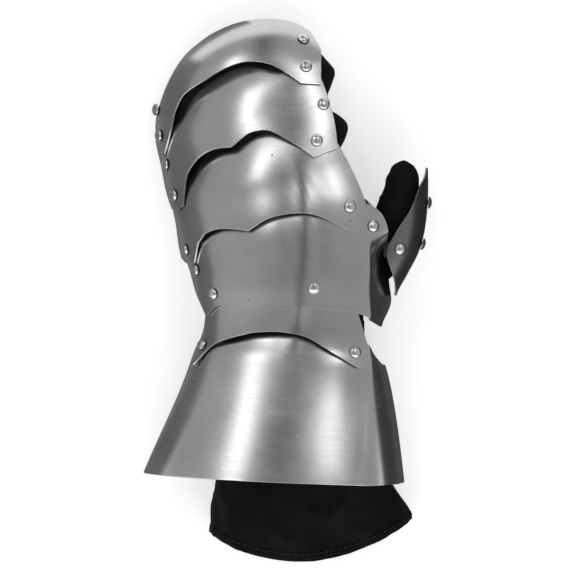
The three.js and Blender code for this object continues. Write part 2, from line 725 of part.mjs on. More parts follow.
const FIXED_HOLE = RIVET.shankRadius + RIVET.holeFit;
const PIVOT_HOLE = RIVET.shankRadius + RIVET.pivotFit;
const PIVOT_GRIP = SHEET * 2 + FIT + RIVET.pivotRoom;
const STRAP_GRIP = SHEET + STRAP_FIT * 4 + STRAP_THICKNESS;
const SLIDE_GRIP = SHEET * 2 + SLIDE_FIT * 2;
const PIVOT_DEPTH = PIVOT_GRIP + RIVET.tailHeight + TOUCH;
const SLIDE_DEPTH = SLIDE_GRIP + RIVET.tailHeight + TOUCH;

// Leather strip: its middle line lies at the given points, its top faces along the normals and
// falls by bow towards both edges
const STRIP_SHARES = [-1, -0.5, 0, 0.5, 1];
function stripSolid(points, normals, width, bow = 0) {
  const outer = [];
  const inner = [];
  points.forEach((point, i) => {
    const before = points[Math.max(i - 1, 0)];
    const after = points[Math.min(i + 1, points.length - 1)];
    const along = after.clone().sub(before).normalize();
    const side = new THREE.Vector3().crossVectors(along, normals[i]).normalize();
    const normal = new THREE.Vector3().crossVectors(side, along).normalize();
    const edges = STRIP_SHARES.map((share) => side.clone().multiplyScalar(share * width / 2)
      .addScaledVector(normal, -bow * share * share));
    outer.push(edges.map((edge) => point.clone().add(edge)));
    inner.push(edges.map(
      (edge) => point.clone().add(edge).addScaledVector(normal, -STRAP_THICKNESS),
    ));
  });
  return sheetSolid(outer, inner, false);
}

// Leather strip that lies under a surface along a path of surface coordinates
function stripUnder(surface, normalAt, path, width, samples, bow) {
  const curve = new THREE.SplineCurve(path.map(([a, b]) => new THREE.Vector2(a, b)));
  const points = [];
  const normals = [];
  for (let i = 0; i <= samples; i += 1) {
    const { x: a, y: b } = curve.getPoint(i / samples);
    const normal = normalAt(a, b);
    normals.push(normal);
    points.push(surface(a, b).addScaledVector(normal, -SHEET - STRAP_FIT));
  }
  return stripSolid(points, normals, width, bow);
}

// Closed solid from a stack of rings of equal length, with flat ends
function ringStack(rings) {
  const columns = rings[0].length;
  const positions = [];
  for (const ring of rings) {
    for (const point of ring) positions.push(point.x, point.y, point.z);
  }
  const centres = [rings[0], rings[rings.length - 1]].map((ring) => {
    const centre = new THREE.Vector3();
    for (const point of ring) centre.addScaledVector(point, 1 / columns);
    positions.push(centre.x, centre.y, centre.z);
    return positions.length / 3 - 1;
  });
  const at = (r, c) => r * columns + (c % columns);
  const indices = [];
  const last = rings.length - 1;
  for (let c = 0; c < columns; c += 1) {
    for (let r = 0; r < last; r += 1) {
      indices.push(at(r, c), at(r, c + 1), at(r + 1, c + 1));
      indices.push(at(r, c), at(r + 1, c + 1), at(r + 1, c));
    }
    indices.push(centres[0], at(0, c + 1), at(0, c));
    indices.push(centres[1], at(last, c), at(last, c + 1));
  }
  return solidFrom(positions, indices);
}

// Cross-section of the glove at station s as [w, z] pairs: over the top from the little-finger side
// to the thumb side, round to the floor and back
const TOP_STEPS = 8;
const SIDE_STEPS = 3;
const GLOVE_SIDE_SHARE = 0.45;   // height of the control point of each side
function gloveSection(s, shape, inset) {
  const points = [];
  for (let i = 0; i <= TOP_STEPS; i += 1) {
    const w = THREE.MathUtils.lerp(shape.topLeft, shape.topRight, i / TOP_STEPS);
    const vaultS = Math.max(s, -CUFF_LENGTH);
    const slope = (vaultHeight(w + PROBE, vaultS) - vaultHeight(w - PROBE, vaultS)) / (PROBE * 2);
    const depth = shape.depth(w, s) + inset;
    const length = Math.hypot(slope, 1);
    const height = vaultHeight(w, vaultS) - depth / length;
    points.push(new THREE.Vector2(w + slope * depth / length, height));
  }
  const topLeft = points[0];
  const topRight = points[TOP_STEPS];
  const floor = shape.floor + inset;
  const floorRight = new THREE.Vector2(shape.floorRight - inset, floor);
  const floorLeft = new THREE.Vector2(shape.floorLeft + inset, floor);
  const middle = (height) => THREE.MathUtils.lerp(floor, height, GLOVE_SIDE_SHARE);
  const runs = [
    [topRight, new THREE.Vector2(shape.sideRight - inset, middle(topRight.y)), floorRight],
    [floorRight, floorRight.clone().lerp(floorLeft, 0.5), floorLeft],
    [floorLeft, new THREE.Vector2(shape.sideLeft + inset, middle(topLeft.y)), topLeft],
  ];
  for (const [from, control, to] of runs) {
    const curve = new THREE.QuadraticBezierCurve(from, control, to);
    for (let i = 1; i <= SIDE_STEPS; i += 1) points.push(curve.getPoint(i / SIDE_STEPS));
  }
  points.pop();
  return points;
}

// Glove tube between two stations; wedges move its rear and front faces at a given (w, z)
function gloveRings({ from, to, steps, shapeAt, rearWedge, frontWedge }, inset, overrun) {
  const rings = [];
  for (let r = 0; r <= steps; r += 1) {
    const v = r / steps;
    const s = THREE.MathUtils.lerp(from, to, v);
    const section = gloveSection(s, shapeAt(s), inset);
    rings.push(section.map(({ x: w, y: z }) => {
      const rear = from + (rearWedge ? rearWedge(w, z) : 0) - overrun.rear;
      const front = to + (frontWedge ? frontWedge(w, z) : 0) + overrun.front;
      return handPoint(w, THREE.MathUtils.lerp(rear, front, v), z);
    }));
  }
  return rings;
}

function gloveTube(tube) {
  const outer = ringStack(gloveRings(tube, 0, { rear: 0, front: 0 }));
  const front = tube.closedFront ? -GLOVE_WALL : GLOVE_WALL;
  return outer.subtract(ringStack(gloveRings(tube, GLOVE_WALL, { rear: GLOVE_WALL, front })));
}

// Height of a hinge line at w, from its two pivots
function hingeHeight(surface, { pivotLeft, pivotRight }) {
  const left = surface(...pivotLeft);
  const right = surface(...pivotRight);
  return (w) => THREE.MathUtils.mapLinear(w, pivotLeft[0], pivotRight[0], left.z, right.z);
}

// The shape of the glove's section where it changes along the hand, from a row of shares of the
// hand's width at each station
const SHAPE_KEYS = ['topLeft', 'topRight', 'sideLeft', 'sideRight', 'floorLeft', 'floorRight', 'floor'];
function shapeTable(stations, shares, depth) {
  return (s) => {
    let i = 0;
    while (i < stations.length - 2 && s > stations[i + 1]) i += 1;
    const part = smoothStep(stations[i], stations[i + 1], s);
    const shape = { depth };
    SHAPE_KEYS.forEach((key, k) => {
      shape[key] = THREE.MathUtils.lerp(shares[i][k], shares[i + 1][k], part) * HAND_WIDTH;
    });
    return shape;
  };
}

// Depth of the glove under a finger plate: clear of the hidden front of the plate behind it,
// which ends at frontS
const DOME_LEAD_SHARE = 0.1;     // how far the glove's dome runs ahead of the plate's
function fingerGloveDepth(pivotS, span, frontS) {
  return (w, s) => {
    const ahead = Math.min(s, frontS) - pivotS;
    const hidden = LAP + SHEET + fallAway(w, ahead, span.half, span.middle) + HIDDEN_ROOM;
    const domed = pivotS === FRONT_S ? domeDrop(w, s + TIP_REACH * DOME_LEAD_SHARE) : 0;
    return Math.max(PIVOT_DEPTH, hidden) + domed;
  };
}

// Build the steel
function drilled(solid, drills) {
  const pieces = drills.reduce((left, drill) => left.subtract(drill), solid).decompose();
  return pieces.reduce((largest, piece) => (piece.volume() > largest.volume() ? piece : largest));
}

const frames = {};
function frameFor(name, surface, [w, s]) {
  frames[name] = rivetFrame(surface, w, s);
  return frames[name];
}

const tipRear = edgePoints(TIP_REAR_SHARES, FRONT_S, EDGE_SAMPLES);
const tipColumns = columnsBetween(
  tipRear,
  edgePoints(TIP_FRONT_SHARES, FRONT_S, EDGE_SAMPLES),
  0,
  0,
);
const middleRear = edgePoints(MIDDLE_REAR_SHARES, MIDDLE_S, EDGE_SAMPLES);
const middleColumns = columnsBetween(
  middleRear,
  hiddenFront(middleRear, MIDDLE_SIDES.frontLeft, MIDDLE_SIDES.frontRight, FRONT_S, tipRear),
  MIDDLE_SIDES.leftBow,
  MIDDLE_SIDES.rightBow,
);
const rearRear = edgePoints(REAR_REAR_SHARES, KNUCKLE_S, EDGE_SAMPLES);
const rearColumns = columnsBetween(
  rearRear,
  hiddenFront(rearRear, REAR_SIDES.frontLeft, REAR_SIDES.frontRight, MIDDLE_S, middleRear),
  REAR_SIDES.leftBow,
  REAR_SIDES.rightBow,
);

frameFor('tip_pivot_left', tipSurface, tipRivets.pivotLeft);
frameFor('tip_pivot_right', tipSurface, tipRivets.pivotRight);
frameFor('tip_strap_left', tipSurface, tipRivets.strapLeft);
frameFor('tip_strap_right', tipSurface, tipRivets.strapRight);
frameFor('middle_pivot_left', middleSurface, middleRivets.pivotLeft);
frameFor('middle_pivot_right', middleSurface, middleRivets.pivotRight);
frameFor('middle_strap_left', middleSurface, middleRivets.strapLeft);
frameFor('middle_strap_right', middleSurface, middleRivets.strapRight);
frameFor('rear_pivot_left', rearSurface, rearRivets.pivotLeft);
frameFor('rear_pivot_right', rearSurface, rearRivets.pivotRight);
frameFor('slide_left', handSurface, handRivets.slideLeft);
frameFor('slide_right', handSurface, handRivets.slideRight);
frameFor('hand_side', handSurface, handRivets.sideLeft);
frameFor('thumb_tab', handSurface, handRivets.thumb);
frameFor('wrist_left', bandSurface, bandRivets.pivotLeft);
frameFor('wrist_right', bandSurface, bandRivets.pivotRight);

frames.thumb_hinge = thumbRivetFrame(THUMB.hinge);
frames.thumb_lower = thumbRivetFrame(THUMB.lower);
frames.thumb_upper = thumbRivetFrame(THUMB.upper);

addMesh('fingertip_plate', drilled(plateSolid(tipSurface, tipColumns), [
  drillSolid(frames.tip_pivot_left, FIXED_HOLE), drillSolid(frames.tip_pivot_right, FIXED_HOLE),
  drillSolid(frames.tip_strap_left, FIXED_HOLE), drillSolid(frames.tip_strap_right, FIXED_HOLE),
]), STEEL);
addMesh('middle_finger_plate', drilled(plateSolid(middleSurface, middleColumns), [
  drillSolid(frames.tip_pivot_left, PIVOT_HOLE), drillSolid(frames.tip_pivot_right, PIVOT_HOLE),
  drillSolid(frames.middle_pivot_left, FIXED_HOLE), drillSolid(frames.middle_pivot_right, FIXED_HOLE),
  drillSolid(frames.middle_strap_left, FIXED_HOLE), drillSolid(frames.middle_strap_right, FIXED_HOLE),
]), STEEL);
addMesh('rear_finger_plate', drilled(plateSolid(rearSurface, rearColumns), [
  drillSolid(frames.middle_pivot_left, PIVOT_HOLE), drillSolid(frames.middle_pivot_right, PIVOT_HOLE),
  drillSolid(frames.rear_pivot_left, FIXED_HOLE), drillSolid(frames.rear_pivot_right, FIXED_HOLE),
]), STEEL);
const handPlateColumns = handColumns();
addMesh('hand_plate', drilled(plateSolid(handSurface, handPlateColumns, 8), [
  drillSolid(frames.rear_pivot_left, PIVOT_HOLE), drillSolid(frames.rear_pivot_right, PIVOT_HOLE),
  drillSolid(frames.slide_left, FIXED_HOLE), drillSolid(frames.slide_right, FIXED_HOLE),
  drillSolid(frames.hand_side, FIXED_HOLE), drillSolid(frames.thumb_tab, FIXED_HOLE),
]), STEEL);
const SLOT_RADIUS = RIVET.shankRadius + RIVET.holeFit * 2;
addMesh('wrist_band', drilled(plateSolid(bandSurface, bandColumns()), [
  drillSolid(frames.slide_left, SLOT_RADIUS, SLIDE_BACK, SLIDE_OUT),
  drillSolid(frames.slide_right, SLOT_RADIUS, SLIDE_BACK, SLIDE_OUT),
  drillSolid(frames.wrist_left, FIXED_HOLE), drillSolid(frames.wrist_right, FIXED_HOLE),
]), STEEL);
addMesh('bell_cuff', drilled(cuffSolid(), [
  drillSolid(frames.wrist_left, PIVOT_HOLE), drillSolid(frames.wrist_right, PIVOT_HOLE),
]), STEEL);

addMesh('thumb_plate', drilled(thumbSolid(), [
  drillSolid(frames.thumb_hinge, FIXED_HOLE),
  drillSolid(frames.thumb_lower, FIXED_HOLE), drillSolid(frames.thumb_upper, FIXED_HOLE),
]), DARK_STEEL);

const RIVET_GRIPS = {
  tip_pivot_left: PIVOT_GRIP,
  tip_pivot_right: PIVOT_GRIP,
  tip_strap_left: STRAP_GRIP,
  tip_strap_right: STRAP_GRIP,
  middle_pivot_left: PIVOT_GRIP,
  middle_pivot_right: PIVOT_GRIP,
  middle_strap_left: STRAP_GRIP,
  middle_strap_right: STRAP_GRIP,
  rear_pivot_left: PIVOT_GRIP,
  rear_pivot_right: PIVOT_GRIP,
  slide_left: SLIDE_GRIP,
  slide_right: SLIDE_GRIP,
  hand_side: STRAP_GRIP,
  thumb_tab: STRAP_GRIP,
  wrist_left: PIVOT_GRIP,
  wrist_right: PIVOT_GRIP,
  thumb_hinge: STRAP_GRIP,
  thumb_lower: STRAP_GRIP,
  thumb_upper: STRAP_GRIP,
};
for (const [name, grip] of Object.entries(RIVET_GRIPS)) {
  addMesh(`${name}_rivet`, rivetSolid(frames[name], grip), RIVET_STEEL);
}

// Glove, one hollow piece for each moving body
const CUFF_GLOVE_STATIONS = [-CUFF_LENGTH - HEM_REACH, -CUFF_LENGTH, -CUFF_LENGTH / 2, WRIST_S];
const CUFF_GLOVE_SHARES = [
  [-0.4, 0.76, -0.56, 1.06, -0.34, 0.74, 0.02],
  [-0.37, 0.62, -0.48, 0.9, -0.3, 0.6, 0.02],
  [-0.4, 0.52, -0.52, 0.8, -0.3, 0.5, 0.061],
  [-0.42, 0.44, -0.52, 0.68, -0.32, 0.46, 0.108],
];
const PALM_START_SHARE = 0.34;   // where the palm reaches the floor
const PALM_GLOVE_STATIONS = [WRIST_S, KNUCKLE_S * PALM_START_SHARE, KNUCKLE_S];
const PALM_GLOVE_SHARES = [
  [-0.52, 0.53, -0.48, 0.7, -0.32, 0.46, 0.105],
  [-0.44, 0.54, -0.5, 0.69, -0.34, 0.46, 0],
  [-0.52, 0.6, -0.5, 0.64, -0.36, 0.46, 0],
];
const ROUND_OFF_SHARE = 0.25;    // where the fingertips start to draw in, along the dome
const FINGER_GLOVE_STATIONS = [KNUCKLE_S, MIDDLE_S, FRONT_S, FRONT_S + TIP_REACH * ROUND_OFF_SHARE, TIP_S];
const FINGER_GLOVE_SHARES = [
  [-0.55, 0.59, -0.5, 0.7, -0.4, 0.54, 0.06],
  [-0.5, 0.54, -0.5, 0.84, -0.38, 0.58, 0.12],
  [-0.4, 0.66, -0.38, 0.9, -0.32, 0.64, 0.14],
  [-0.32, 0.6, -0.31, 0.66, -0.26, 0.54, 0.14],
  [-0.12, 0.46, -0.12, 0.48, -0.08, 0.42, 0.14],
];
const WRIST_WEDGE = {
  below: Math.tan(THREE.MathUtils.degToRad(22)),
  above: Math.tan(THREE.MathUtils.degToRad(11)),
};
const FINGER_WEDGE = Math.tan(CURL_ROOM);
const WRIST_GLOVE_END = 26;
const FINGER_END_SHARE = 0.72;   // how far the fingers reach into the dome

const wristAxis = hingeHeight(bandSurface, bandRivets);
const cuffGloveDepth = (w, s) => {
  const clear = Math.max(PIVOT_DEPTH + bandDip(0), cuffDepth(w, s) + SHEET + TOUCH * 2);
  return clear + GLOVE_SAG * smoothStep(0, CUFF_LENGTH, -s);
};
const wristGloveDepth = (w, s) => {
  const ahead = Math.min(s, CUFF.frontS);
  return Math.max(
    PIVOT_DEPTH + bandDip(s) + handDepth(w, s),
    cuffDepth(w, ahead) + SHEET + TOUCH * 4 + WRIST_WEDGE.above * Math.max(0, ahead),
  );
};
const HEM = { middle: 16, half: 60, rise: 17 };
const fingerWedge = (axis) => (w, z) => FINGER_WEDGE * Math.max(0, axis(w) - z);

addMesh('glove_cuff', gloveTube({
  from: -CUFF_LENGTH - HEM_REACH,
  to: WRIST_S - TOUCH,
  steps: 7,
  shapeAt: shapeTable(CUFF_GLOVE_STATIONS, CUFF_GLOVE_SHARES, cuffGloveDepth),
  rearWedge: (w) => HEM.rise * ((w - HEM.middle) / HEM.half) ** 2,
  frontWedge: (w, z) => -WRIST_WEDGE.below * Math.max(0, wristAxis(w) - z),
}), GLOVE_CLOTH);
addMesh('glove_wrist', gloveTube({
  from: WRIST_S,
  to: WRIST_GLOVE_END,
  steps: 3,
  shapeAt: shapeTable(PALM_GLOVE_STATIONS, PALM_GLOVE_SHARES, wristGloveDepth),
  rearWedge: (w, z) => WRIST_WEDGE.above * Math.max(0, z - wristAxis(w)),
}), GLOVE_CLOTH);
addMesh('glove_hand', gloveTube({
  from: WRIST_GLOVE_END + SLIDE_BACK + TOUCH * 4,
  to: KNUCKLE_S - TOUCH,
  steps: 4,
  shapeAt: shapeTable(
    PALM_GLOVE_STATIONS,
    PALM_GLOVE_SHARES,
    (w, s) => SLIDE_DEPTH + handDepth(w, s),
  ),
}), GLOVE_CLOTH);
const frontOf = (columns) => Math.max(...columns.map((column) => column(1)[1]));
const rearTube = {
  from: KNUCKLE_S,
  to: MIDDLE_S - TOUCH,
  steps: 3,
  shapeAt: shapeTable(
    FINGER_GLOVE_STATIONS,
    FINGER_GLOVE_SHARES,
    fingerGloveDepth(KNUCKLE_S, rearSpan, frontOf(handPlateColumns)),
  ),
  rearWedge: fingerWedge(hingeHeight(rearSurface, rearRivets)),
};
const middleTube = {
  from: MIDDLE_S,
  to: FRONT_S - TOUCH,
  steps: 3,
  shapeAt: shapeTable(
    FINGER_GLOVE_STATIONS,
    FINGER_GLOVE_SHARES,
    fingerGloveDepth(MIDDLE_S, middleSpan, frontOf(rearColumns)),
  ),
  rearWedge: fingerWedge(hingeHeight(middleSurface, middleRivets)),
};
const tipTube = {
  from: FRONT_S,
  to: FRONT_S + TIP_REACH * FINGER_END_SHARE,
  steps: 5,
  shapeAt: shapeTable(
    FINGER_GLOVE_STATIONS,
    FINGER_GLOVE_SHARES,
    fingerGloveDepth(FRONT_S, tipSpan, frontOf(middleColumns)),
  ),
  rearWedge: fingerWedge(hingeHeight(tipSurface, tipRivets)),
  closedFront: true,
};
addMesh('glove_rear_fingers', gloveTube(rearTube), GLOVE_CLOTH);
addMesh('glove_middle_fingers', gloveTube(middleTube), GLOVE_CLOTH);
addMesh('glove_fingertips', gloveTube(tipTube), GLOVE_CLOTH);

// Glove thumb: a round-ended finger whose outside lies in the thumb plate
const THUMB_GLOVE = {
  rearT: 0.25,
  frontT: 1.045,
  steps: 9,
  sides: 14,
  tipShare: 0.4,                 // how much thinner the wall is at the tip
  innerShares: [0.66, 0.645, 0.625, 0.635, 0.665, 0.69, 0.72, 0.79],
  halfHeightShares: [0.074, 0.098, 0.11, 0.112, 0.112, 0.108, 0.09, 0.04],
  outerRoomShares: [0.085, 0.068, 0.062, 0.062, 0.062, 0.062, 0.066, 0.13],
};
function thumbGloveRing(v, inset, frontInset) {
  const t = THREE.MathUtils.lerp(THUMB_GLOVE.rearT, THUMB_GLOVE.frontT, v);
  const room = valueAlong(THUMB_GLOVE.outerRoomShares, v) * HAND_WIDTH;
  const inner = valueAlong(THUMB_GLOVE.innerShares, v) * HAND_WIDTH + inset;
  const outer = valueAlong(THUMB.outerShares, t) * HAND_WIDTH - room - inset;
  const half = valueAlong(THUMB_GLOVE.halfHeightShares, v) * HAND_WIDTH - inset;
  const y = THREE.MathUtils.lerp(THUMB.rearY, THUMB.frontY, t) - frontInset;
  const ring = [];
  for (let i = 0; i < THUMB_GLOVE.sides; i += 1) {
    const angle = -(i / THUMB_GLOVE.sides) * Math.PI * 2;
    ring.push(new THREE.Vector3(
      (inner + outer) / 2 + (outer - inner) / 2 * Math.cos(angle),
      y,
      THUMB.middleZ + half * Math.sin(angle),
    ));
  }
  return ring;
}
function thumbGloveStack(inset) {
  const rings = [];
  for (let r = 0; r <= THUMB_GLOVE.steps; r += 1) {
    const v = Math.sin((r / THUMB_GLOVE.steps) * Math.PI / 2);
    rings.push(thumbGloveRing(v, inset * (1 - v * THUMB_GLOVE.tipShare), inset));
  }
  return ringStack(rings);
}
addMesh('glove_thumb', thumbGloveStack(0).subtract(thumbGloveStack(GLOVE_WALL)), GLOVE_CLOTH);

// Leathers
const HAND_STRAP = { width: 8, bow: 0.9, samples: 20 };
const HAND_STRAP_SHARES = { crownS: 0.8, thumbSideW: 0.45, thumbSideS: 0.81, endW: 0.765, endS: 0.825 };
const handStrapPath = [
  [handRivets.sideLeft[0] - STRAP_END, handRivets.sideLeft[1]],
  [0, KNUCKLE_S * HAND_STRAP_SHARES.crownS],
  [HAND_WIDTH * HAND_STRAP_SHARES.thumbSideW, KNUCKLE_S * HAND_STRAP_SHARES.thumbSideS],
  handRivets.thumb,
  [HAND_WIDTH * HAND_STRAP_SHARES.endW, KNUCKLE_S * HAND_STRAP_SHARES.endS],
];
const handStrap = stripUnder(
  handSurface,
  (w, s) => surfaceNormal(handSurface, w, s),
  handStrapPath,
  HAND_STRAP.width,
  HAND_STRAP.samples,
  HAND_STRAP.bow,
);
addMesh('hand_strap', drilled(handStrap, [
  drillSolid(frames.hand_side, FIXED_HOLE), drillSolid(frames.thumb_tab, FIXED_HOLE),
]), LEATHER);

// Thumb leathers follow the plate: along it in shares of its length, round it in degrees. The
// hinge leather ends against the edge of the hand plate's wing, where it bends
const THUMB_LEATHER = { samples: 7, hingeBow: 0.5, strapBow: 0.9, hingeNear: 95.6, hingeFar: 46 };
const THUMB_STRAP_SHARES = [0.33, 0.5, 0.8];
const thumbHingePath = [THUMB_LEATHER.hingeNear, THUMB.hinge.angle, THUMB_LEATHER.hingeFar].map(
  (angle) => [THUMB.hinge.t, angle],
);
const thumbStrapPath = THUMB_STRAP_SHARES.map((t) => [t, THUMB.lower.angle]);
const thumbStrip = (path, bow) => stripUnder(
  thumbPoint,
  thumbNormal,
  path,
  STRAP_WIDTH,
  THUMB_LEATHER.samples,
  bow,
);
addMesh('thumb_hinge_leather', drilled(thumbStrip(thumbHingePath, THUMB_LEATHER.hingeBow), [
  drillSolid(frames.thumb_hinge, FIXED_HOLE),
]), LEATHER);
addMesh('thumb_strap', drilled(thumbStrip(thumbStrapPath, THUMB_LEATHER.strapBow), [
  drillSolid(frames.thumb_lower, FIXED_HOLE), drillSolid(frames.thumb_upper, FIXED_HOLE),
]), LEATHER);

// Cross-section of a finger tube where the plane at station s meets it
function sectionAt(tube, s, inset) {
  return gloveSection(s, tube.shapeAt(s), inset).map(({ x: w, y: z }, i) => {
    const rear = tube.from + tube.rearWedge(w, z);
    const nominal = THREE.MathUtils.mapLinear(s, rear, tube.to, tube.from, tube.to);
    return gloveSection(nominal, tube.shapeAt(nominal), inset)[i];
  });
}

// A finger strap hangs from two rivets and passes under the glove, which it clears by a little
const FINGER_STRAP_BOW = 0.7;
const LEFT_LIP = 2.8;            // strap between the rivet and the bend at the little-finger side
function fingerStrap(surface, rivets, tube) {
  const [leftW, leftS] = rivets.strapLeft;
  const [rightW, rightS] = rivets.strapRight;
  const points = [];
  const normals = [];
  const under = (w, s) => {
    const normal = surfaceNormal(surface, w, s);
    points.push(surface(w, s).addScaledVector(normal, -SHEET - STRAP_FIT));
    normals.push(normal);
  };
  const middleS = (leftS + rightS) / 2;
  const room = -STRAP_FIT - STRAP_THICKNESS - FINGER_STRAP_BOW - TOUCH;
  const behind = sectionAt(tube, middleS - STRAP_WIDTH / 2, room);
  const section = sectionAt(tube, middleS + STRAP_WIDTH / 2, room).map((point, i) => {
    const centre = new THREE.Vector2(0, surface(0, middleS).z / 2);
    return point.distanceTo(centre) > behind[i].distanceTo(centre) ? point : behind[i];
  });
  const lower = section.slice(TOP_STEPS + 1, section.length - SIDE_STEPS + 1);
  const leftLip = surface(leftW - LEFT_LIP, leftS);
  const lowest = Math.min(leftLip.z, section[section.length - SIDE_STEPS].y) - STRAP_LIP;
  lower.push(new THREE.Vector2(leftW + STRAP_LIP, lowest));
  under(rightW - STRAP_END, rightS);
  under(rightW, rightS);
  under(rightW + STRAP_LIP, rightS);
  lower.forEach(({ x: w, y: z }, i) => {
    const before = i ? lower[i - 1] : section[TOP_STEPS];
    const after = lower[i + 1] ?? section[0];
    const lean = leanAt(middleS);
    const rise = after.y - before.y;
    normals.push(new THREE.Vector3(
      -rise * Math.cos(lean),
      -rise * Math.sin(lean),
      after.x - before.x,
    ).normalize());
    const share = (i + 1) / (lower.length + 1);
    points.push(handPoint(w, THREE.MathUtils.lerp(rightS, leftS, share), z));
  });
  under(leftW - LEFT_LIP, leftS);
  under(leftW, leftS);
  under(leftW + STRAP_END, leftS);
  return stripSolid(points, normals, STRAP_WIDTH, FINGER_STRAP_BOW);
}
addMesh('fingertip_strap', drilled(fingerStrap(tipSurface, tipRivets, tipTube), [
  drillSolid(frames.tip_strap_left, FIXED_HOLE), drillSolid(frames.tip_strap_right, FIXED_HOLE),
]), LEATHER);
addMesh('middle_finger_strap', drilled(fingerStrap(middleSurface, middleRivets, middleTube), [
  drillSolid(frames.middle_strap_left, FIXED_HOLE), drillSolid(frames.middle_strap_right, FIXED_HOLE),
]), LEATHER);

// Stand the part on z = 0 with the middle of its footprint at the origin
const footprint = new THREE.Box3().setFromObject(gauntlet);
const middle = footprint.getCenter(new THREE.Vector3());
for (const node of gauntlet.children) node.geometry.translate(-middle.x, -middle.y, -footprint.min.z);

export default gauntlet;
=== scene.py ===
"""Looks of a left-hand clamshell gauntlet: satin steel plates riveted over a black glove.

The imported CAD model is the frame. Its plates, rivets, leathers and glove are replaced by finer
meshes on the same surfaces. Lengths are millimetres until a mesh is written in metres. The hand
lies palm down, with +Z up, +Y towards the fingertips and +X towards the thumb.
"""

from __future__ import annotations

import json
import logging
import math
from dataclasses import astuple, dataclass
from enum import Enum
from functools import cached_property
from typing import Any, Callable, Sequence

import bmesh
import bpy
import numpy as np
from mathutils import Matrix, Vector, noise
from mathutils.kdtree import KDTree

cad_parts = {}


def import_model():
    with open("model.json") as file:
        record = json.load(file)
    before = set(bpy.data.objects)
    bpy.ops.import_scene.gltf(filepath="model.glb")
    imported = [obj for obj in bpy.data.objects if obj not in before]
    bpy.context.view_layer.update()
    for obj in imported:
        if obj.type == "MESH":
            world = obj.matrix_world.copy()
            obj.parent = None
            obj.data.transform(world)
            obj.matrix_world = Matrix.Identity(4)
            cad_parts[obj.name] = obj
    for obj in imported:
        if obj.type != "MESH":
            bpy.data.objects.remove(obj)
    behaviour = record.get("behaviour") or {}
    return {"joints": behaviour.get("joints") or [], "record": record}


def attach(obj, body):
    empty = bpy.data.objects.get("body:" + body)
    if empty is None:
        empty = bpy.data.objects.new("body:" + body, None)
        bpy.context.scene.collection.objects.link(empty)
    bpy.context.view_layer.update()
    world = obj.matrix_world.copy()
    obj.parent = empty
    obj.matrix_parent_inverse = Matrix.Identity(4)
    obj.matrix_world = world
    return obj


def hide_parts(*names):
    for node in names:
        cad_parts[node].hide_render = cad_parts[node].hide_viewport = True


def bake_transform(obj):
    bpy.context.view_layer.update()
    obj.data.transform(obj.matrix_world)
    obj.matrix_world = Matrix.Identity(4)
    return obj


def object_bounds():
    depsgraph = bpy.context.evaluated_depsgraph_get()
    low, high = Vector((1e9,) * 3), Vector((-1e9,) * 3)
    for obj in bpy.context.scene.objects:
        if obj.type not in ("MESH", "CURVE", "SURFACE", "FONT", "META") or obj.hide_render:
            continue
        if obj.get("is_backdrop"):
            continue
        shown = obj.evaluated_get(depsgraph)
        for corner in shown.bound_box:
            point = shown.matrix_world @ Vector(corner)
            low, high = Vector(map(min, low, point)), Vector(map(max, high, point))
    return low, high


LOG = logging.getLogger("gauntlet")
MM = 0.001
Array = np.ndarray
Surface = Callable[[Array, Array], Array]
Pair = tuple[float, float]
Triple = tuple[float, float, float]
Colour = Triple
Runs = tuple[tuple[Pair, ...], ...]


class Slot(Enum):
    """Material slots of the record."""

    STEEL = "steel"
    THUMB_STEEL = "thumb_steel"
    RIVET = "rivet_steel"
    LEATHER = "strap_leather"
    GLOVE = "glove_cloth"


class Socket:
    """A number that flows between shader nodes, with Python's operators."""

    def __init__(self, graph: "Graph", source: bpy.types.NodeSocket) -> None:
        """Wraps one output socket of a graph."""
        self.graph = graph
        self.source = source

    def _maths(self, operation: str, first: Any, second: Any = 0.0) -> "Socket":
        """Adds one Math node."""
        return self.graph.node("ShaderNodeMath", {0: first, 1: second}, operation=operation)

    def __add__(self, other: Any) -> "Socket":
        """Sum."""
        return self._maths("ADD", self, other)

    __radd__ = __add__

    def __sub__(self, other: Any) -> "Socket":
        """Difference."""
        return self._maths("SUBTRACT", self, other)

    def __rsub__(self, other: Any) -> "Socket":
        """Difference, from a plain number."""
        return self._maths("SUBTRACT", other, self)

    def __mul__(self, other: Any) -> "Socket":
        """Product."""
        return self._maths("MULTIPLY", self, other)

    __rmul__ = __mul__

    def between(self, low: float, high: float) -> "Socket":
        """Rises smoothly from 0 at low to 1 at high, or falls where low is above high.

        Args:
            low: Value that gives 0.
            high: Value that gives 1.

        Returns:
            The eased number.
        """
        return self.graph.node(
            "ShaderNodeMapRange",
            {"Value": self, "From Min": low, "From Max": high},
            interpolation_type="SMOOTHSTEP",
        )


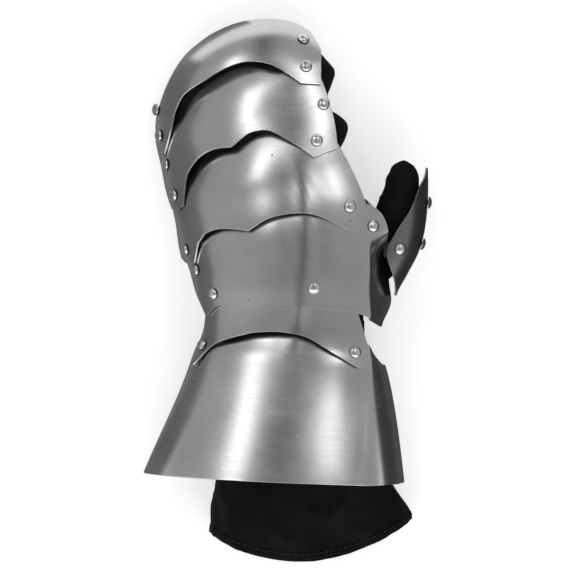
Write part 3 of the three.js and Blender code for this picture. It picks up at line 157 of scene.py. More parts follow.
class Graph:
    """Node tree of a new material, or of the world."""

    def __init__(self, name: str, world: bpy.types.World | None = None) -> None:
        """Starts an empty material of that name, or empties the world's tree.

        Args:
            name: The material's name.
            world: World whose tree is used instead.
        """
        self.material = None if world else bpy.data.materials.new(name)
        owner = world or self.material
        owner.use_nodes = True
        self.tree = owner.node_tree
        self.tree.nodes.clear()

    def node(
        self,
        kind: str,
        inputs: dict[Any, Any] | None = None,
        output: int | str = 0,
        **settings: Any,
    ) -> Socket:
        """Adds a node.

        Args:
            kind: The node's type.
            inputs: Values or links of its sockets, by name or place.
            output: The output to return, by name or place.
            settings: The node's own settings, which are set first.

        Returns:
            The chosen output.
        """
        made = self.tree.nodes.new(kind)
        for key, value in settings.items():
            setattr(made, key, value)
        for key, value in (inputs or {}).items():
            self.feed(made.inputs[key], value)
        return Socket(self, made.outputs[output] if made.outputs else None)

    def feed(self, target: bpy.types.NodeSocket, value: Any) -> None:
        """Links a socket, or sets its plain value.

        Args:
            target: The input socket.
            value: A socket, a colour or a number.
        """
        if isinstance(value, Socket):
            self.tree.links.new(value.source, target)
        elif isinstance(value, tuple) and target.type == "RGBA":
            target.default_value = (*value, 1.0)
        else:
            target.default_value = value

    def mix(self, share: Any, low: Any, high: Any) -> Socket:
        """Mixes two colours by a share.

        Args:
            share: Share of the second colour.
            low: First colour.
            high: Second colour.

        Returns:
            The mixed colour.
        """
        inputs = {0: share, 6: low, 7: high}
        return self.node("ShaderNodeMix", inputs, output=2, data_type="RGBA")

    def place(self, scale: Triple = (1, 1, 1)) -> Socket:
        """Object coordinates, scaled.

        Args:
            scale: Factor for each axis.

        Returns:
            The coordinates.
        """
        where = self.node("ShaderNodeTexCoord", output="Object")
        return self.node("ShaderNodeMapping", {"Vector": where, "Scale": scale})

    def noise(self, where: Socket, scale: float, detail: float = 3.0, rough: float = 0.55) -> Socket:
        """Soft noise from 0 to 1."""
        inputs = {"Vector": where, "Scale": scale, "Detail": detail, "Roughness": rough}
        return self.node("ShaderNodeTexNoise", inputs)

    def dots(self, where: Socket, scale: float) -> Socket:
        """Distance to the nearest of many scattered points, in cells."""
        return self.node("ShaderNodeTexVoronoi", {"Vector": where, "Scale": scale})

    def ray(self, kind: str) -> Socket:
        """1 for rays of a kind, such as Camera, and 0 for all others."""
        return self.node("ShaderNodeLightPath", output=f"Is {kind} Ray")

    def attribute(self, name: str) -> Socket:
        """A mesh attribute's number."""
        return self.node("ShaderNodeAttribute", output="Fac", attribute_name=name)

    def bump(self, height: Socket, depth: float, below: Socket | None = None) -> Socket:
        """Normal of a surface raised by a height from 0 to 1 times a depth in metres.

        Args:
            height: Height from 0 to 1.
            depth: Depth in metres.
            below: Normal that it is laid on.

        Returns:
            The normal.
        """
        inputs = {"Height": height, "Distance": depth, "Strength": 1.0}
        if below is not None:
            inputs["Normal"] = below
        return self.node("ShaderNodeBump", inputs)

    def surface(self, shader: dict[str, Any]) -> bpy.types.Material:
        """Ends the tree in a Principled shader with these inputs.

        Args:
            shader: Values or links of the shader's sockets, by name.

        Returns:
            The finished material.
        """
        principled = self.node("ShaderNodeBsdfPrincipled", shader)
        self.node("ShaderNodeOutputMaterial", {"Surface": principled})
        return self.material


@dataclass(frozen=True)
class SteelFinish:
    """Satin steel, brushed across the hand, with small pits, bright filed edges and painted shade under
    lapping plates.
    """

    colour: Colour
    roughness: float
    brushed: float = 8.5e-6
    brush_scale: Triple = (14, 900, 60)
    cloud_scale: float = 26.0
    stain_scale: float = 90.0
    spot_scale: float = 55.0
    pit_scale: float = 130.0
    pit_depth: float = 1.2e-4
    pore_scale: float = 420.0
    pore_depth: float = 8e-6
    pit_colour: Colour = (0.05, 0.045, 0.04)
    painted_shade_colour: Colour = (0.012, 0.011, 0.01)
    rust_colour: Colour = (0.3, 0.2, 0.13)
    filed_edge: float = 0.9

    def material(self, name: str) -> bpy.types.Material:
        """Builds the material.

        Args:
            name: The material's name.

        Returns:
            The material.
        """
        graph = Graph(name)
        plain = graph.place()
        brush = graph.noise(graph.place(self.brush_scale), 1.0, 4.0, 0.7)
        cloud = graph.noise(plain, self.cloud_scale, 4.0)
        stain = graph.noise(plain, self.stain_scale, 5.0, 0.7)
        spots = graph.noise(plain, self.spot_scale, 1.0).between(0.62, 0.7)
        pits = graph.dots(plain, self.pit_scale).between(0.1, 0.03) * spots
        edge = graph.attribute("edge").between(self.filed_edge, 0.25)
        dim = tuple(0.86 * channel for channel in self.colour)
        bright = tuple(min(1.12 * channel, 0.95) for channel in self.colour)
        base = graph.mix(cloud.between(0.3, 0.7), dim, self.colour)
        base = graph.mix(stain.between(0.6, 0.85) * 0.25, base, tuple(0.7 * c for c in self.colour))
        base = graph.mix(pits, base, self.pit_colour)
        base = graph.mix(edge * 0.8, base, bright)
        # Painted shade: near black along the hidden front edge, where the plate above shades it.
        painted_shade = graph.attribute("painted_shade")
        base = graph.mix(painted_shade * 0.93, base, self.painted_shade_colour)
        rust = graph.attribute("rivet").between(5.5, 3.0) * spots.between(0.3, 0.9)
        base = graph.mix(rust * 0.35, base, self.rust_colour)
        roughness = self.roughness + (cloud - 0.5) * 0.16 + (brush - 0.5) * 0.1 - edge * 0.08
        height = graph.bump(brush, self.brushed)
        height = graph.bump(graph.noise(plain, self.pore_scale, 2.0), self.pore_depth, height)
        height = graph.bump(1 - pits, self.pit_depth, height)
        return graph.surface({
            "Base Color": base,
            "Metallic": 1.0,
            "Roughness": roughness + pits * 0.4 + painted_shade * 0.35,
            "Normal": height,
        })


@dataclass(frozen=True)
class RivetFinish:
    """Polished steel head with a few soft hammer marks and a painted shade ring at its foot."""

    colour: Colour = (0.74, 0.74, 0.75)
    foot_shade_colour: Colour = (0.1, 0.095, 0.09)
    roughness: float = 0.2
    mark_scale: float = 330.0
    mark_depth: float = 3.2e-4

    def material(self, name: str) -> bpy.types.Material:
        """Builds the material.

        Args:
            name: The material's name.

        Returns:
            The material.
        """
        graph = Graph(name)
        plain = graph.place()
        marks = graph.noise(plain, self.mark_scale, 1.0)
        # Painted shade: the lowest millimetre of the head darkens where it meets the plate.
        painted_shade = graph.attribute("edge").between(0.9, 0.1)
        base = graph.mix(marks.between(0.35, 0.75), self.colour, tuple(0.8 * c for c in self.colour))
        return graph.surface({
            "Base Color": graph.mix(painted_shade * 0.85, base, self.foot_shade_colour),
            "Metallic": 1.0,
            "Roughness": self.roughness + marks * 0.08 + painted_shade * 0.3,
            "Normal": graph.bump(marks, self.mark_depth),
        })


@dataclass(frozen=True)
class LeatherFinish:
    """Black oiled strap leather with a pebbled grain and browner cut edges."""

    colour: Colour = (0.022, 0.019, 0.017)
    edge_colour: Colour = (0.06, 0.038, 0.024)
    pebble_scale: float = 900.0
    pebble_depth: float = 1.6e-4
    wear_scale: float = 70.0
    wear_depth: float = 2.5e-4

    def material(self, name: str) -> bpy.types.Material:
        """Builds the material.

        Args:
            name: The material's name.

        Returns:
            The material.
        """
        graph = Graph(name)
        plain = graph.place()
        pebbles = graph.dots(plain, self.pebble_scale)
        wear = graph.noise(plain, self.wear_scale, 5.0)
        edge = graph.attribute("edge").between(0.8, 0.1)
        base = graph.mix(wear.between(0.4, 0.7), self.colour, tuple(2.0 * c for c in self.colour))
        height = graph.bump(pebbles, self.pebble_depth, graph.bump(wear, self.wear_depth))
        return graph.surface({
            "Base Color": graph.mix(edge * 0.7, base, self.edge_colour),
            "Roughness": 0.5 + wear * 0.25,
            "Normal": height,
        })


@dataclass(frozen=True)
class SuedeFinish:
    """Near-black suede with a short nap that is brushed in patches."""

    colour: Colour = (0.0035, 0.0034, 0.0037)
    worn: Colour = (0.009, 0.0085, 0.0083)
    nap_colour: Colour = (0.022, 0.021, 0.02)
    patch_scale: float = 38.0
    nap_scale: float = 1500.0
    nap_depth: float = 2.2e-4
    crease_scale: float = 110.0
    crease_depth: float = 7e-4

    def material(self, name: str) -> bpy.types.Material:
        """Builds the material.

        Args:
            name: The material's name.

        Returns:
            The material.
        """
        graph = Graph(name)
        plain = graph.place()
        patch = graph.noise(plain, self.patch_scale, 4.0, 0.6)
        nap = graph.noise(graph.place(scale=(1, 2.4, 1)), self.nap_scale, 3.0, 0.7)
        crease = graph.noise(graph.place(scale=(1, 2.0, 1)), self.crease_scale, 3.0, 0.5)
        base = graph.mix(patch.between(0.42, 0.75) * 0.75, self.colour, self.worn)
        base = graph.mix(nap.between(0.5, 0.85) * 0.3, base, self.nap_colour)
        height = graph.bump(nap, self.nap_depth, graph.bump(crease, self.crease_depth))
        return graph.surface({
            "Base Color": base,
            "Roughness": 0.92 - patch * 0.1,
            "Specular IOR Level": 0.2,
            "Sheen Weight": 0.03,
            "Sheen Roughness": 0.5,
            "Normal": height,
        })


@dataclass(frozen=True)
class ThreadFinish:
    """Waxed black thread."""

    colour: Colour = (0.0045, 0.0045, 0.005)
    twist_scale: float = 1800.0
    twist_depth: float = 1.5e-4

    def material(self, name: str) -> bpy.types.Material:
        """Builds the material.

        Args:
            name: The material's name.

        Returns:
            The material.
        """
        graph = Graph(name)
        twist = graph.noise(graph.place(scale=(1, 1, 3)), self.twist_scale, 1.0)
        return graph.surface({
            "Base Color": graph.mix(twist, self.colour, tuple(1.8 * c for c in self.colour)),
            "Roughness": 0.6,
            "Normal": graph.bump(twist, self.twist_depth),
        })


@dataclass(frozen=True)
class FloorFinish:
    """Plain pale floor, which shows a little lighter to the camera so that it reads as white."""

    colour: Colour = (0.86, 0.86, 0.86)
    lift: float = 0.55

    def material(self, name: str) -> bpy.types.Material:
        """Builds the material.

        Args:
            name: The material's name.

        Returns:
            The material.
        """
        graph = Graph(name)
        seen = graph.ray("Camera") + graph.ray("Glossy") + graph.ray("Transmission")
        return graph.surface({
            "Base Color": self.colour,
            "Roughness": 0.9,
            "Emission Color": graph.mix(seen, (0.0, 0.0, 0.0), (self.lift,) * 3),
            "Emission Strength": 1.0,
        })


def smooth_step(low: float, high: float, value: Array) -> Array:
    """Rises smoothly from 0 at low to 1 at high."""
    share = np.clip((value - low) / (high - low), 0, 1)
    return share * share * (3 - 2 * share)


def lerp(low: Any, high: Any, share: Any) -> Any:
    """The value at a share of the way from low to high."""
    return low + (high - low) * share


def unit(vectors: Array) -> Array:
    """Vectors scaled to a length of one."""
    return vectors / np.maximum(np.linalg.norm(vectors, axis=-1, keepdims=True), 1e-9)


def spline(points: Sequence[Any], shares: Array) -> Array:
    """Points of a smooth curve through all the given points.

    Args:
        points: The points, as rows.
        shares: Places along the curve, from 0 to 1.

    Returns:
        One row for each share.
    """
    knots = np.asarray(points, float).reshape(len(points), -1)
    last = len(knots) - 1
    place = np.clip(shares, 0, 1) * last
    index = np.minimum(place.astype(int), last)
    t = (place - index)[:, None]
    before = knots[np.maximum(index - 1, 0)]
    here = knots[index]
    ahead = knots[np.minimum(index + 1, last)]
    beyond = knots[np.minimum(index + 2, last)]
    leave = (ahead - before) / 2
    arrive = (beyond - here) / 2
    cubic = 2 * here - 2 * ahead + leave + arrive
    square = 3 * ahead - 3 * here - 2 * leave - arrive
    return ((cubic * t + square) * t + leave) * t + here


def along_values(values: Sequence[float], shares: Array) -> Array:
    """Smooth values along a run, at shares from 0 to 1."""
    return spline([[value] for value in values], np.atleast_1d(shares))[:, 0]


def bowed(begin: Array, control: Array, end: Array, t: Any) -> Array:
    """Points of a curve from begin to end, drawn towards control.

    Args:
        begin: First point.
        control: Point that it is drawn to.
        end: Last point.
        t: Shares of the way.

    Returns:
        The points.
    """
    return begin * (1 - t) ** 2 + control * 2 * t * (1 - t) + end * t * t


def resampled(points: Array, count: int) -> Array:
    """The same open line with evenly spaced points.

    Args:
        points: Points of the line, as rows.
        count: How many points to give.

    Returns:
        The new points.
    """
    steps = np.linalg.norm(np.diff(points, axis=0), axis=1)
    run = np.concatenate([[0], np.cumsum(steps)])
    places = np.linspace(0, run[-1], count)
    return np.stack([np.interp(places, run, points[:, k]) for k in range(points.shape[1])], axis=1)


def tree_of(points: Sequence[Any]) -> KDTree:
    """A search tree of points.

    Args:
        points: The points.

    Returns:
        The tree, which finds each point's number.
    """
    tree = KDTree(len(points))
    for index, point in enumerate(points):
        tree.insert(point, index)
    tree.balance()
    return tree


@dataclass(frozen=True)
class Section:
    """One cross-section of the vault.

    Args:
        s: Station along the hand.
        crown: Height of the crown.
        left: Half width to the little-finger side.
        right: Half width to the thumb side.
        rise: Fall from the crown to the sides.
        shift: Sideways place of the crown.
    """

    s: float
    crown: float
    left: float
    right: float
    rise: float
    shift: float


@dataclass(frozen=True)
class Span:
    """The two pivots that a plate turns on: half their distance and their middle."""

    half: float
    middle: float


@dataclass
class HandForm:
    """The vault over the hand that every plate follows.

    A place is (w, s): w across the hand towards the thumb, s along it from the wrist pivots.
    """

    width: float = 100.0
    knuckle: float = 78.0
    rear_pitch: float = 41.5
    front_pitch: float = 43.5
    tip_reach: float = 47.0
    cuff_length: float = 84.0
    sheet: float = 1.3
    fit: float = 0.45
    slide_fit: float = 1.25
    slide_travel: float = 3.0
    curl_room: float = math.tan(math.radians(19))
    wrist_lean: float = math.radians(-2.6)
    bend: float = math.radians(28.9)
    bend_run: float = 218.0
    side_limit: float = 0.985
    tail_reach: float = 15.0
    probe: float = 0.2
    ridge_height: float = 1.1
    ridge_half: float = 5.5
    ridge_place: float = 8.7
    ridge_slope: float = 0.238
    ridge_start: Pair = (-10.0, 25.0)
    ridge_stop: Pair = (12.0, 8.0)

    def __post_init__(self) -> None:
        """Works out the stations, the sections and where the frame's origin lies."""
        self.middle = self.knuckle + self.rear_pitch
        self.front = self.middle + self.front_pitch
        self.tip = self.front + self.tip_reach
        self.lap = self.sheet + self.fit
        self.origin = np.zeros(3)
        self.sections = (
            Section(-self.cuff_length, 90, 91, 104, 52, 5),
            Section(0, 66, 68, 76, 40, 12),
            Section(self.knuckle * 0.75, 71, 72, 96, 54, 15),
            Section(self.knuckle + self.rear_pitch * 0.7, 67.5, 75, 100, 62, 15),
            Section(self.front, 57, 73, 95, 60, 22),
            Section(self.tip, 44, 72, 90, 55, 24),
        )

    @cached_property
    def quadrature(self) -> tuple[Array, Array]:
        """Nodes and weights that add up the spine."""
        return np.polynomial.legendre.leggauss(8)

    def size(self, s: Array, key: str) -> Array:
        """A section's size at stations s, as a smooth curve through all the sections.

        Args:
            s: Stations.
            key: Name of the size in Section.

        Returns:
            One size for each station.
        """
        stations = np.array([section.s for section in self.sections])
        values = np.array([getattr(section, key) for section in self.sections])
        last = len(stations) - 1
        low = np.maximum(np.arange(last + 1) - 1, 0)
        high = np.minimum(np.arange(last + 1) + 1, last)
        slopes = (values[high] - values[low]) / (stations[high] - stations[low])
        i = np.searchsorted(stations[1:-1], s, side="left")
        span = stations[i + 1] - stations[i]
        t = (s - stations[i]) / span
        square = t * t
        cube = square * t
        start = (2 * cube - 3 * square + 1) * values[i] + (cube - 2 * square + t) * span * slopes[i]
        end = (3 * square - 2 * cube) * values[i + 1] + (cube - square) * span * slopes[i + 1]
        return start + end

    def lean(self, s: Array) -> Array:
        """Turn of the cross direction at stations s."""
        t = np.clip(s / self.bend_run, 0, 1)
        return self.wrist_lean + self.bend * (2 * t - t * t)

    def point(self, w: Array, s: Array, z: Array) -> Array:
        """Points w across and s along the hand at height z.

        Args:
            w: Places across the hand.
            s: Stations along the hand.
            z: Heights.

        Returns:
            The points, in millimetres of the hand.
        """
        w, s, z = np.broadcast_arrays(np.asarray(w, float), np.asarray(s, float), np.asarray(z, float))
        nodes, weights = self.quadrature
        half = s / 2
        leans = self.lean(half[..., None] * (1 + nodes))
        x = -(np.sin(leans) * weights).sum(-1) * half
        y = (np.cos(leans) * weights).sum(-1) * half
        lean = self.lean(s)
        return np.stack([x + w * np.cos(lean), y + w * np.sin(lean), z], axis=-1)

    def height(self, w: Array, s: Array) -> Array:
        """Height of the vault, without its ridge.

        Args:
            w: Places across the hand.
            s: Stations along the hand.

        Returns:
            The heights.
        """
        x = w - self.size(s, "shift")
        reach = np.where(x < 0, self.size(s, "left"), self.size(s, "right"))
        share = np.minimum(np.abs(x) / reach, self.side_limit)
        return self.size(s, "crown") - self.size(s, "rise") * (1 - np.sqrt(1 - share * share))

    def ridge(self, w: Array, s: Array) -> Array:
        """Low ridge along the back of the hand, which all the plates share.

        Args:
            w: Places across the hand.
            s: Stations along the hand.

        Returns:
            How far the ridge stands up.
        """
        centre = self.ridge_place + self.ridge_slope * s
        past_knuckle, past_middle = self.ridge_stop
        end = 1 - smooth_step(self.knuckle + past_knuckle, self.middle + past_middle, s)
        fade = smooth_step(*self.ridge_start, s) * end
        return self.ridge_height * fade * np.exp(-(((w - centre) / self.ridge_half) ** 2))

    def vault(self, w: Array, s: Array) -> Array:
        """Points of the vault with its ridge."""
        return self.point(w, s, self.height(w, s) + self.ridge(w, s))

    def normal(self, surface: Surface, w: Array, s: Array) -> Array:
        """Outward normals of a surface.

        Args:
            surface: The surface.
            w: Places across the hand.
            s: Stations along the hand.

        Returns:
            One normal for each place.
        """
        across = surface(w + self.probe, s) - surface(w - self.probe, s)
        ahead = surface(w, s + self.probe) - surface(w, s - self.probe)
        return unit(np.cross(across, ahead))

    def sunk(self, depth: Callable[[Array, Array], Array]) -> Surface:
        """The surface that lies under the vault by a depth.

        Args:
            depth: Depth at each place.

        Returns:
            The sunk surface.
        """
        def surface(w: Array, s: Array) -> Array:
            """Points of the sunk surface."""
            return self.vault(w, s) - self.normal(self.vault, w, s) * depth(w, s)[..., None]
        return surface

    def fall_away(self, w: Array, ahead: Array, span: Span) -> Array:
        """How far a plate falls away in front of the pivots of the plate above it.

        Args:
            w: Places across the hand.
            ahead: Distances in front of the pivots.
            span: The pivots.

        Returns:
            The depths.
        """
        off = np.minimum(np.abs(w - span.middle) / span.half, 1)
        softness = self.sheet * 2 + self.width * 0.16 * (1 - off * off)
        return self.curl_room * (ahead + np.hypot(ahead, softness)) / 2

    def finger_depth(self, rear: float, front: float, span: Span) -> Callable[[Array, Array], Array]:
        """Depth of a plate that runs from its own pivots to the pivots in front of it.

        Args:
            rear: Station of its own pivots.
            front: Station of the pivots in front.
            span: The pivots in front.

        Returns:
            The depth at each place.
        """
        def depth(w: Array, s: Array) -> Array:
            """Depth under the vault."""
            lapped = self.lap * smooth_step(rear, front - self.tail_reach, s)
            return lapped + self.fall_away(w, s - front, span)
        return depth

    def to_frame(self, points: Array) -> Array:
        """Points of the hand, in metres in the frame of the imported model."""
        return (points - self.origin) * MM


@dataclass
class Dresser:
    """Writes meshes, and puts each piece on its body in place of the CAD nodes.

    Args:
        hand: The vault that places are measured on.
        finishes: A material for each slot.
        body_of: The body of each CAD node.
        rivet_seats: Points in millimetres of the hand where rivets pass through.
        sharp: Angle past which an edge stays sharp, in radians.
        painted_shade_fade: Run over which the painted shade band under a lapping plate fades, in
            millimetres.
        painted_shade_slant: How much narrower the painted shade band is at the thumb side, in millimetres.
        painted_shade_turn: Shares of the front edge between which the painted shade band narrows.
    """

    hand: HandForm
    finishes: dict[Slot, bpy.types.Material]
    body_of: dict[str, str]
    rivet_seats: list[Array]
    sharp: float = math.radians(50)
    painted_shade_fade: float = 2.5
    painted_shade_slant: float = 3.0
    painted_shade_turn: Pair = (0.3, 0.72)

    def grid(self, points: Array, merge: bool = False) -> bmesh.types.BMesh:
        """A sheet or a tube of a grid of points.

        Args:
            points: Rows of points in millimetres of the hand.
            merge: Whether points that coincide are merged, as on rings and at poles.

        Returns:
            The mesh, in metres.
        """
        rows, columns = points.shape[0] - 1, points.shape[1] - 1
        mesh = bmesh.new()
        bmesh.ops.create_grid(mesh, x_segments=columns, y_segments=rows, size=0.5)
        placed = self.hand.to_frame(points)
        for vert in mesh.verts:
            column = round((vert.co.x + 0.5) * columns)
            row = round((vert.co.y + 0.5) * rows)
            vert.co = placed[row, column]
        if merge:
            bmesh.ops.remove_doubles(mesh, verts=mesh.verts, dist=2e-6)
        return mesh

    def nearest(self, mesh: bmesh.types.BMesh, name: str, points: Sequence[Any]) -> None:
        """Stores each vertex's distance in millimetres to the nearest of some points.

        Args:
            mesh: The mesh.
            name: The attribute's name.
            points: The points, in metres.
        """
        layer = mesh.verts.layers.float.new(name)
        tree = tree_of(points)
        for vert in mesh.verts:
            vert[layer] = tree.find(vert.co)[2] / MM

    def mark(self, mesh: bmesh.types.BMesh) -> None:
        """Stores the distances to the outline and to the nearest rivet.

        Args:
            mesh: The mesh.
        """
        rim = [v.co.copy() for v in mesh.verts if any(e.is_boundary for e in v.link_edges)]
        self.nearest(mesh, "edge", rim)
        self.nearest(mesh, "rivet", [self.hand.to_frame(seat) for seat in self.rivet_seats])

    def painted_shade(self, mesh: bmesh.types.BMesh, front: Array, reach: float) -> None:
        """Stores a painted shade on a plate where it runs under the plate that laps over it.

        Args:
            mesh: The plate's mesh.
            front: Its front edge, in metres.
            reach: How far from the front edge the painted shade band runs, in millimetres.
        """
        layer = mesh.verts.layers.float.new("painted_shade")
        tree = tree_of(front)
        for vert in mesh.verts:
            _, index, distance = tree.find(vert.co)
            across = float(smooth_step(*self.painted_shade_turn, np.array(index / (len(front) - 1))))
            edge = reach - self.painted_shade_slant * across
            share = smooth_step(edge - self.painted_shade_fade, edge, np.array(distance / MM))
            vert[layer] = 1 - float(share)

    def piece(self, name: str, mesh: bmesh.types.BMesh, slot: Slot) -> bpy.types.Object:
        """Makes a smoothly shaded object of a mesh and gives it its finish.

        Args:
            name: The piece's name.
            mesh: Its mesh, which is freed.
            slot: Its material slot.

        Returns:
            The object.
        """
        data = bpy.data.meshes.new(name)
        mesh.normal_update()
        mesh.to_mesh(data)
        mesh.free()
        data.polygons.foreach_set("use_smooth", [True] * len(data.polygons))
        data.materials.append(self.finishes[slot])
        made = bpy.data.objects.new(name, data)
        bpy.context.scene.collection.objects.link(made)
        return made

    def thicken(
        self, made: bpy.types.Object, thickness: float, bevel: float = 0.0, even: bool = True
    ) -> None:
        """Gives a sheet its thickness, against its normals, and soft edges.

        Args:
            made: The object.
            thickness: Thickness in millimetres.
            bevel: Width of the bevel in millimetres, or 0 for none.
            even: Whether the thickness is kept at sharp bends.
        """
        solid = made.modifiers.new("thickness", "SOLIDIFY")
        solid.thickness = thickness * MM
        solid.offset = -1
        solid.use_even_offset = even
        if bevel:
            edge = made.modifiers.new("edge", "BEVEL")
            edge.width = bevel * MM
            edge.segments = 2
            edge.limit_method = "ANGLE"
            edge.angle_limit = self.sharp
            edge.harden_normals = True

    def freeze(self, made: bpy.types.Object) -> None:
        """Applies a piece's modifiers, and keeps its sharp edges sharp.

        Args:
            made: The piece.
        """
        depsgraph = bpy.context.evaluated_depsgraph_get()
        data = bpy.data.meshes.new_from_object(
            made.evaluated_get(depsgraph), preserve_all_data_layers=True, depsgraph=depsgraph
        )
        made.modifiers.clear()
        made.data = data
        data.set_sharp_from_angle(angle=self.sharp)

    def sheet(
        self, mesh: bmesh.types.BMesh, name: str, slot: Slot, node: str, thickness: float,
        bevel: float, even: bool = True,
    ) -> None:
        """Makes a piece of a flat mesh, thickens it and puts it on its body.

        Args:
            mesh: The mesh, which is freed.
            name: The piece's name.
            slot: Its material slot.
            node: The CAD node that it stands for.
            thickness: Thickness in millimetres.
            bevel: Width of the bevel in millimetres.
            even: Whether the thickness is kept at sharp bends.
        """
        self.mark(mesh)
        made = self.piece(name, mesh, slot)
        self.thicken(made, thickness, bevel, even)
        self.on_body(made, node)

    def on_body(self, made: bpy.types.Object, node: str) -> None:
        """Puts a piece on a node's body and hides the node.

        Args:
            made: The piece.
            node: The CAD node.
        """
        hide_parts(node)
        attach(made, self.body_of[node])
        LOG.info("%s rides on %s", made.name, self.body_of[node])


@dataclass(frozen=True)
class Outline:
    """Rear edge of a plate, as runs that meet at corners, in shares of the hand's width."""

    runs: Runs
    pivot: float
    curved: int = 14
    straight: int = 5

    def points(self, hand: HandForm) -> Array:
        """Points (w, s) along the edge, with one on each corner.

        Args:
            hand: The hand, for its width.

        Returns:
            One row (w, s) for each point.
        """
        found: list[Array] = []
        for run in self.runs:
            steps = self.curved if len(run) > 2 else self.straight
            shares = np.linspace(0, 1, steps + 1)[1 if found else 0:]
            found.append(spline(run, shares))
        places = np.concatenate(found) * hand.width
        return places + np.array([0, self.pivot])


@dataclass(frozen=True)
class Dome:
    """How the front of the fingertip plate falls away, in millimetres and shares."""

    drop: float = 34.0
    half_width: float = 61.0
    centre: float = 17.0
    start: float = 0.35
    steep: float = 0.95
    power: float = 2.3


@dataclass
class Plates:
    """The steel plates over the back of the hand, and the surfaces that they lie on.

    Runs are outlines in shares of the hand's width, from the plate's own pivots. Ends are where a
    hidden front edge starts and stops, and bows how far the two sides stand out.
    """

    hand: HandForm
    dome: Dome = Dome()
    rows: int = 30
    side_lap: float = 9.0
    lap_length: float = 6.0
    lap_spread: float = 4.0
    bevel: float = 0.28
    wing_columns: int = 8
    wing_reach: float = 34.0
    wing_shares: tuple[float, ...] = (0.45, 0.92, 0.85, 0.66, 0.46, 0.33, 0.02)
    wing_back: float = 3.5
    wing_fold: float = math.radians(62)
    tab_fold: float = math.radians(24)
    wing_flat: Pair = (50.0, 63.0)
    wing_crease: Triple = (61.0, 60.0, 69.0)
    band_lift: float = 0.17
    band_front: Triple = (-45.0, 42.0, 51.0)
    wrist_pivots: Pair = (-49.5, 50.6)
    middle_ends: Pair = (-47.0, 68.0)
    middle_bows: Pair = (2.0, 3.5)
    rear_ends: Pair = (-53.0, 59.0)
    rear_bows: Pair = (1.0, 2.0)
    hand_left: float = -57.0
    hand_bow: float = 2.5
    tip_span: Span = Span(52.8, 9.6)
    middle_span: Span = Span(49.65, 0.45)
    rear_span: Span = Span(55.15, 2.35)
    # Reach in millimetres of the painted shade along each plate's hidden front edge.
    painted_shade_bands: tuple[tuple[str, float], ...] = (
        ("middle_finger_plate", 11.5), ("rear_finger_plate", 9.0), ("hand_plate", 8.0),
    )
    tip_rear_runs: Runs = (
        ((-0.466, -0.146), (-0.435, -0.11), (-0.348, -0.003), (-0.266, 0.101), (-0.167, 0.172),
         (-0.02, 0.19)),
        ((-0.02, 0.19), (0.09, 0.202), (0.2, 0.2), (0.309, 0.173), (0.432, 0.088), (0.548, -0.085)),
        ((0.548, -0.085), (0.664, -0.138)),
    )
    tip_front_runs: Runs = (
        ((-0.455, 0.02), (-0.415, 0.11), (-0.33, 0.21), (-0.2, 0.325), (-0.04, 0.418), (0.15, 0.463)),
        ((0.15, 0.463), (0.3, 0.462), (0.45, 0.427), (0.6, 0.356), (0.7, 0.275), (0.754, 0.19)),
        ((0.754, 0.19), (0.763, 0.06)),
    )
    middle_rear_runs: Runs = (
        ((-0.54, -0.085), (-0.528, -0.105), (-0.509, -0.118)),
        ((-0.509, -0.118), (-0.463, -0.101)),
        ((-0.463, -0.101), (-0.393, 0.057), (-0.343, 0.127), (-0.258, 0.181), (-0.147, 0.192),
         (-0.035, 0.158)),
        ((-0.035, 0.158), (0.099, 0.198), (0.193, 0.184), (0.258, 0.145), (0.388, -0.012),
         (0.443, -0.088)),
        ((0.443, -0.088), (0.61, -0.084)),
    )
    rear_rear_runs: Runs = (
        ((-0.572, -0.06), (-0.545, -0.105), (-0.496, -0.127)),
        ((-0.496, -0.127), (-0.44, 0.016)),
        ((-0.44, 0.016), (-0.4, 0.055), (-0.372, 0.073), (-0.295, 0.079), (-0.199, 0.051),
         (-0.101, 0.009)),
        ((-0.101, 0.009), (0.026, 0.051), (0.143, 0.053), (0.26, 0.033), (0.376, -0.016),
         (0.552, -0.146)),
        ((0.552, -0.146), (0.684, -0.08)),
    )
    hand_rear_runs: Runs = (
        ((-0.464, 0.235), (-0.415, 0.287), (-0.34, 0.315), (-0.129, 0.305), (0.061, 0.276)),
        ((0.061, 0.276), (0.243, 0.24), (0.36, 0.222), (0.44, 0.208), (0.609, 0.165)),
    )
    band_rear_runs: Runs = (
        ((-0.54, -0.1), (-0.532, -0.133), (-0.5, -0.092), (-0.42, 0.013), (-0.322, 0.064),
         (-0.17, 0.103)),
        ((-0.17, 0.103), (-0.012, 0.109), (0.173, 0.081), (0.28, 0.032), (0.367, -0.013),
         (0.483, -0.08)),
        ((0.483, -0.08), (0.53, -0.098), (0.575, -0.075), (0.598, -0.01), (0.585, 0.05)),
    )

    def __post_init__(self) -> None:
        """Works out the outlines and surfaces of the plates."""
        hand = self.hand
        self.tip_rear = Outline(self.tip_rear_runs, hand.front)
        self.tip_front = Outline(self.tip_front_runs, hand.front)
        self.middle_rear = Outline(self.middle_rear_runs, hand.middle)
        self.rear_rear = Outline(self.rear_rear_runs, hand.knuckle)
        self.hand_rear = Outline(self.hand_rear_runs, 0.0)
        self.band_rear = Outline(self.band_rear_runs, 0.0)
        self.middle_depth = hand.finger_depth(hand.middle, hand.front, self.tip_span)
        self.rear_depth = hand.finger_depth(hand.knuckle, hand.middle, self.middle_span)
        self.hand_depth = hand.finger_depth(hand.knuckle * 0.5, hand.knuckle, self.rear_span)
        self.middle_surface = hand.sunk(lambda w, s: self.middle_depth(w, s) + self.dome_drop(w, s))
        self.rear_surface = hand.sunk(self.rear_depth)
        self.hand_vault = hand.sunk(self.hand_depth)
        self.band_surface = hand.sunk(self.band_depth)

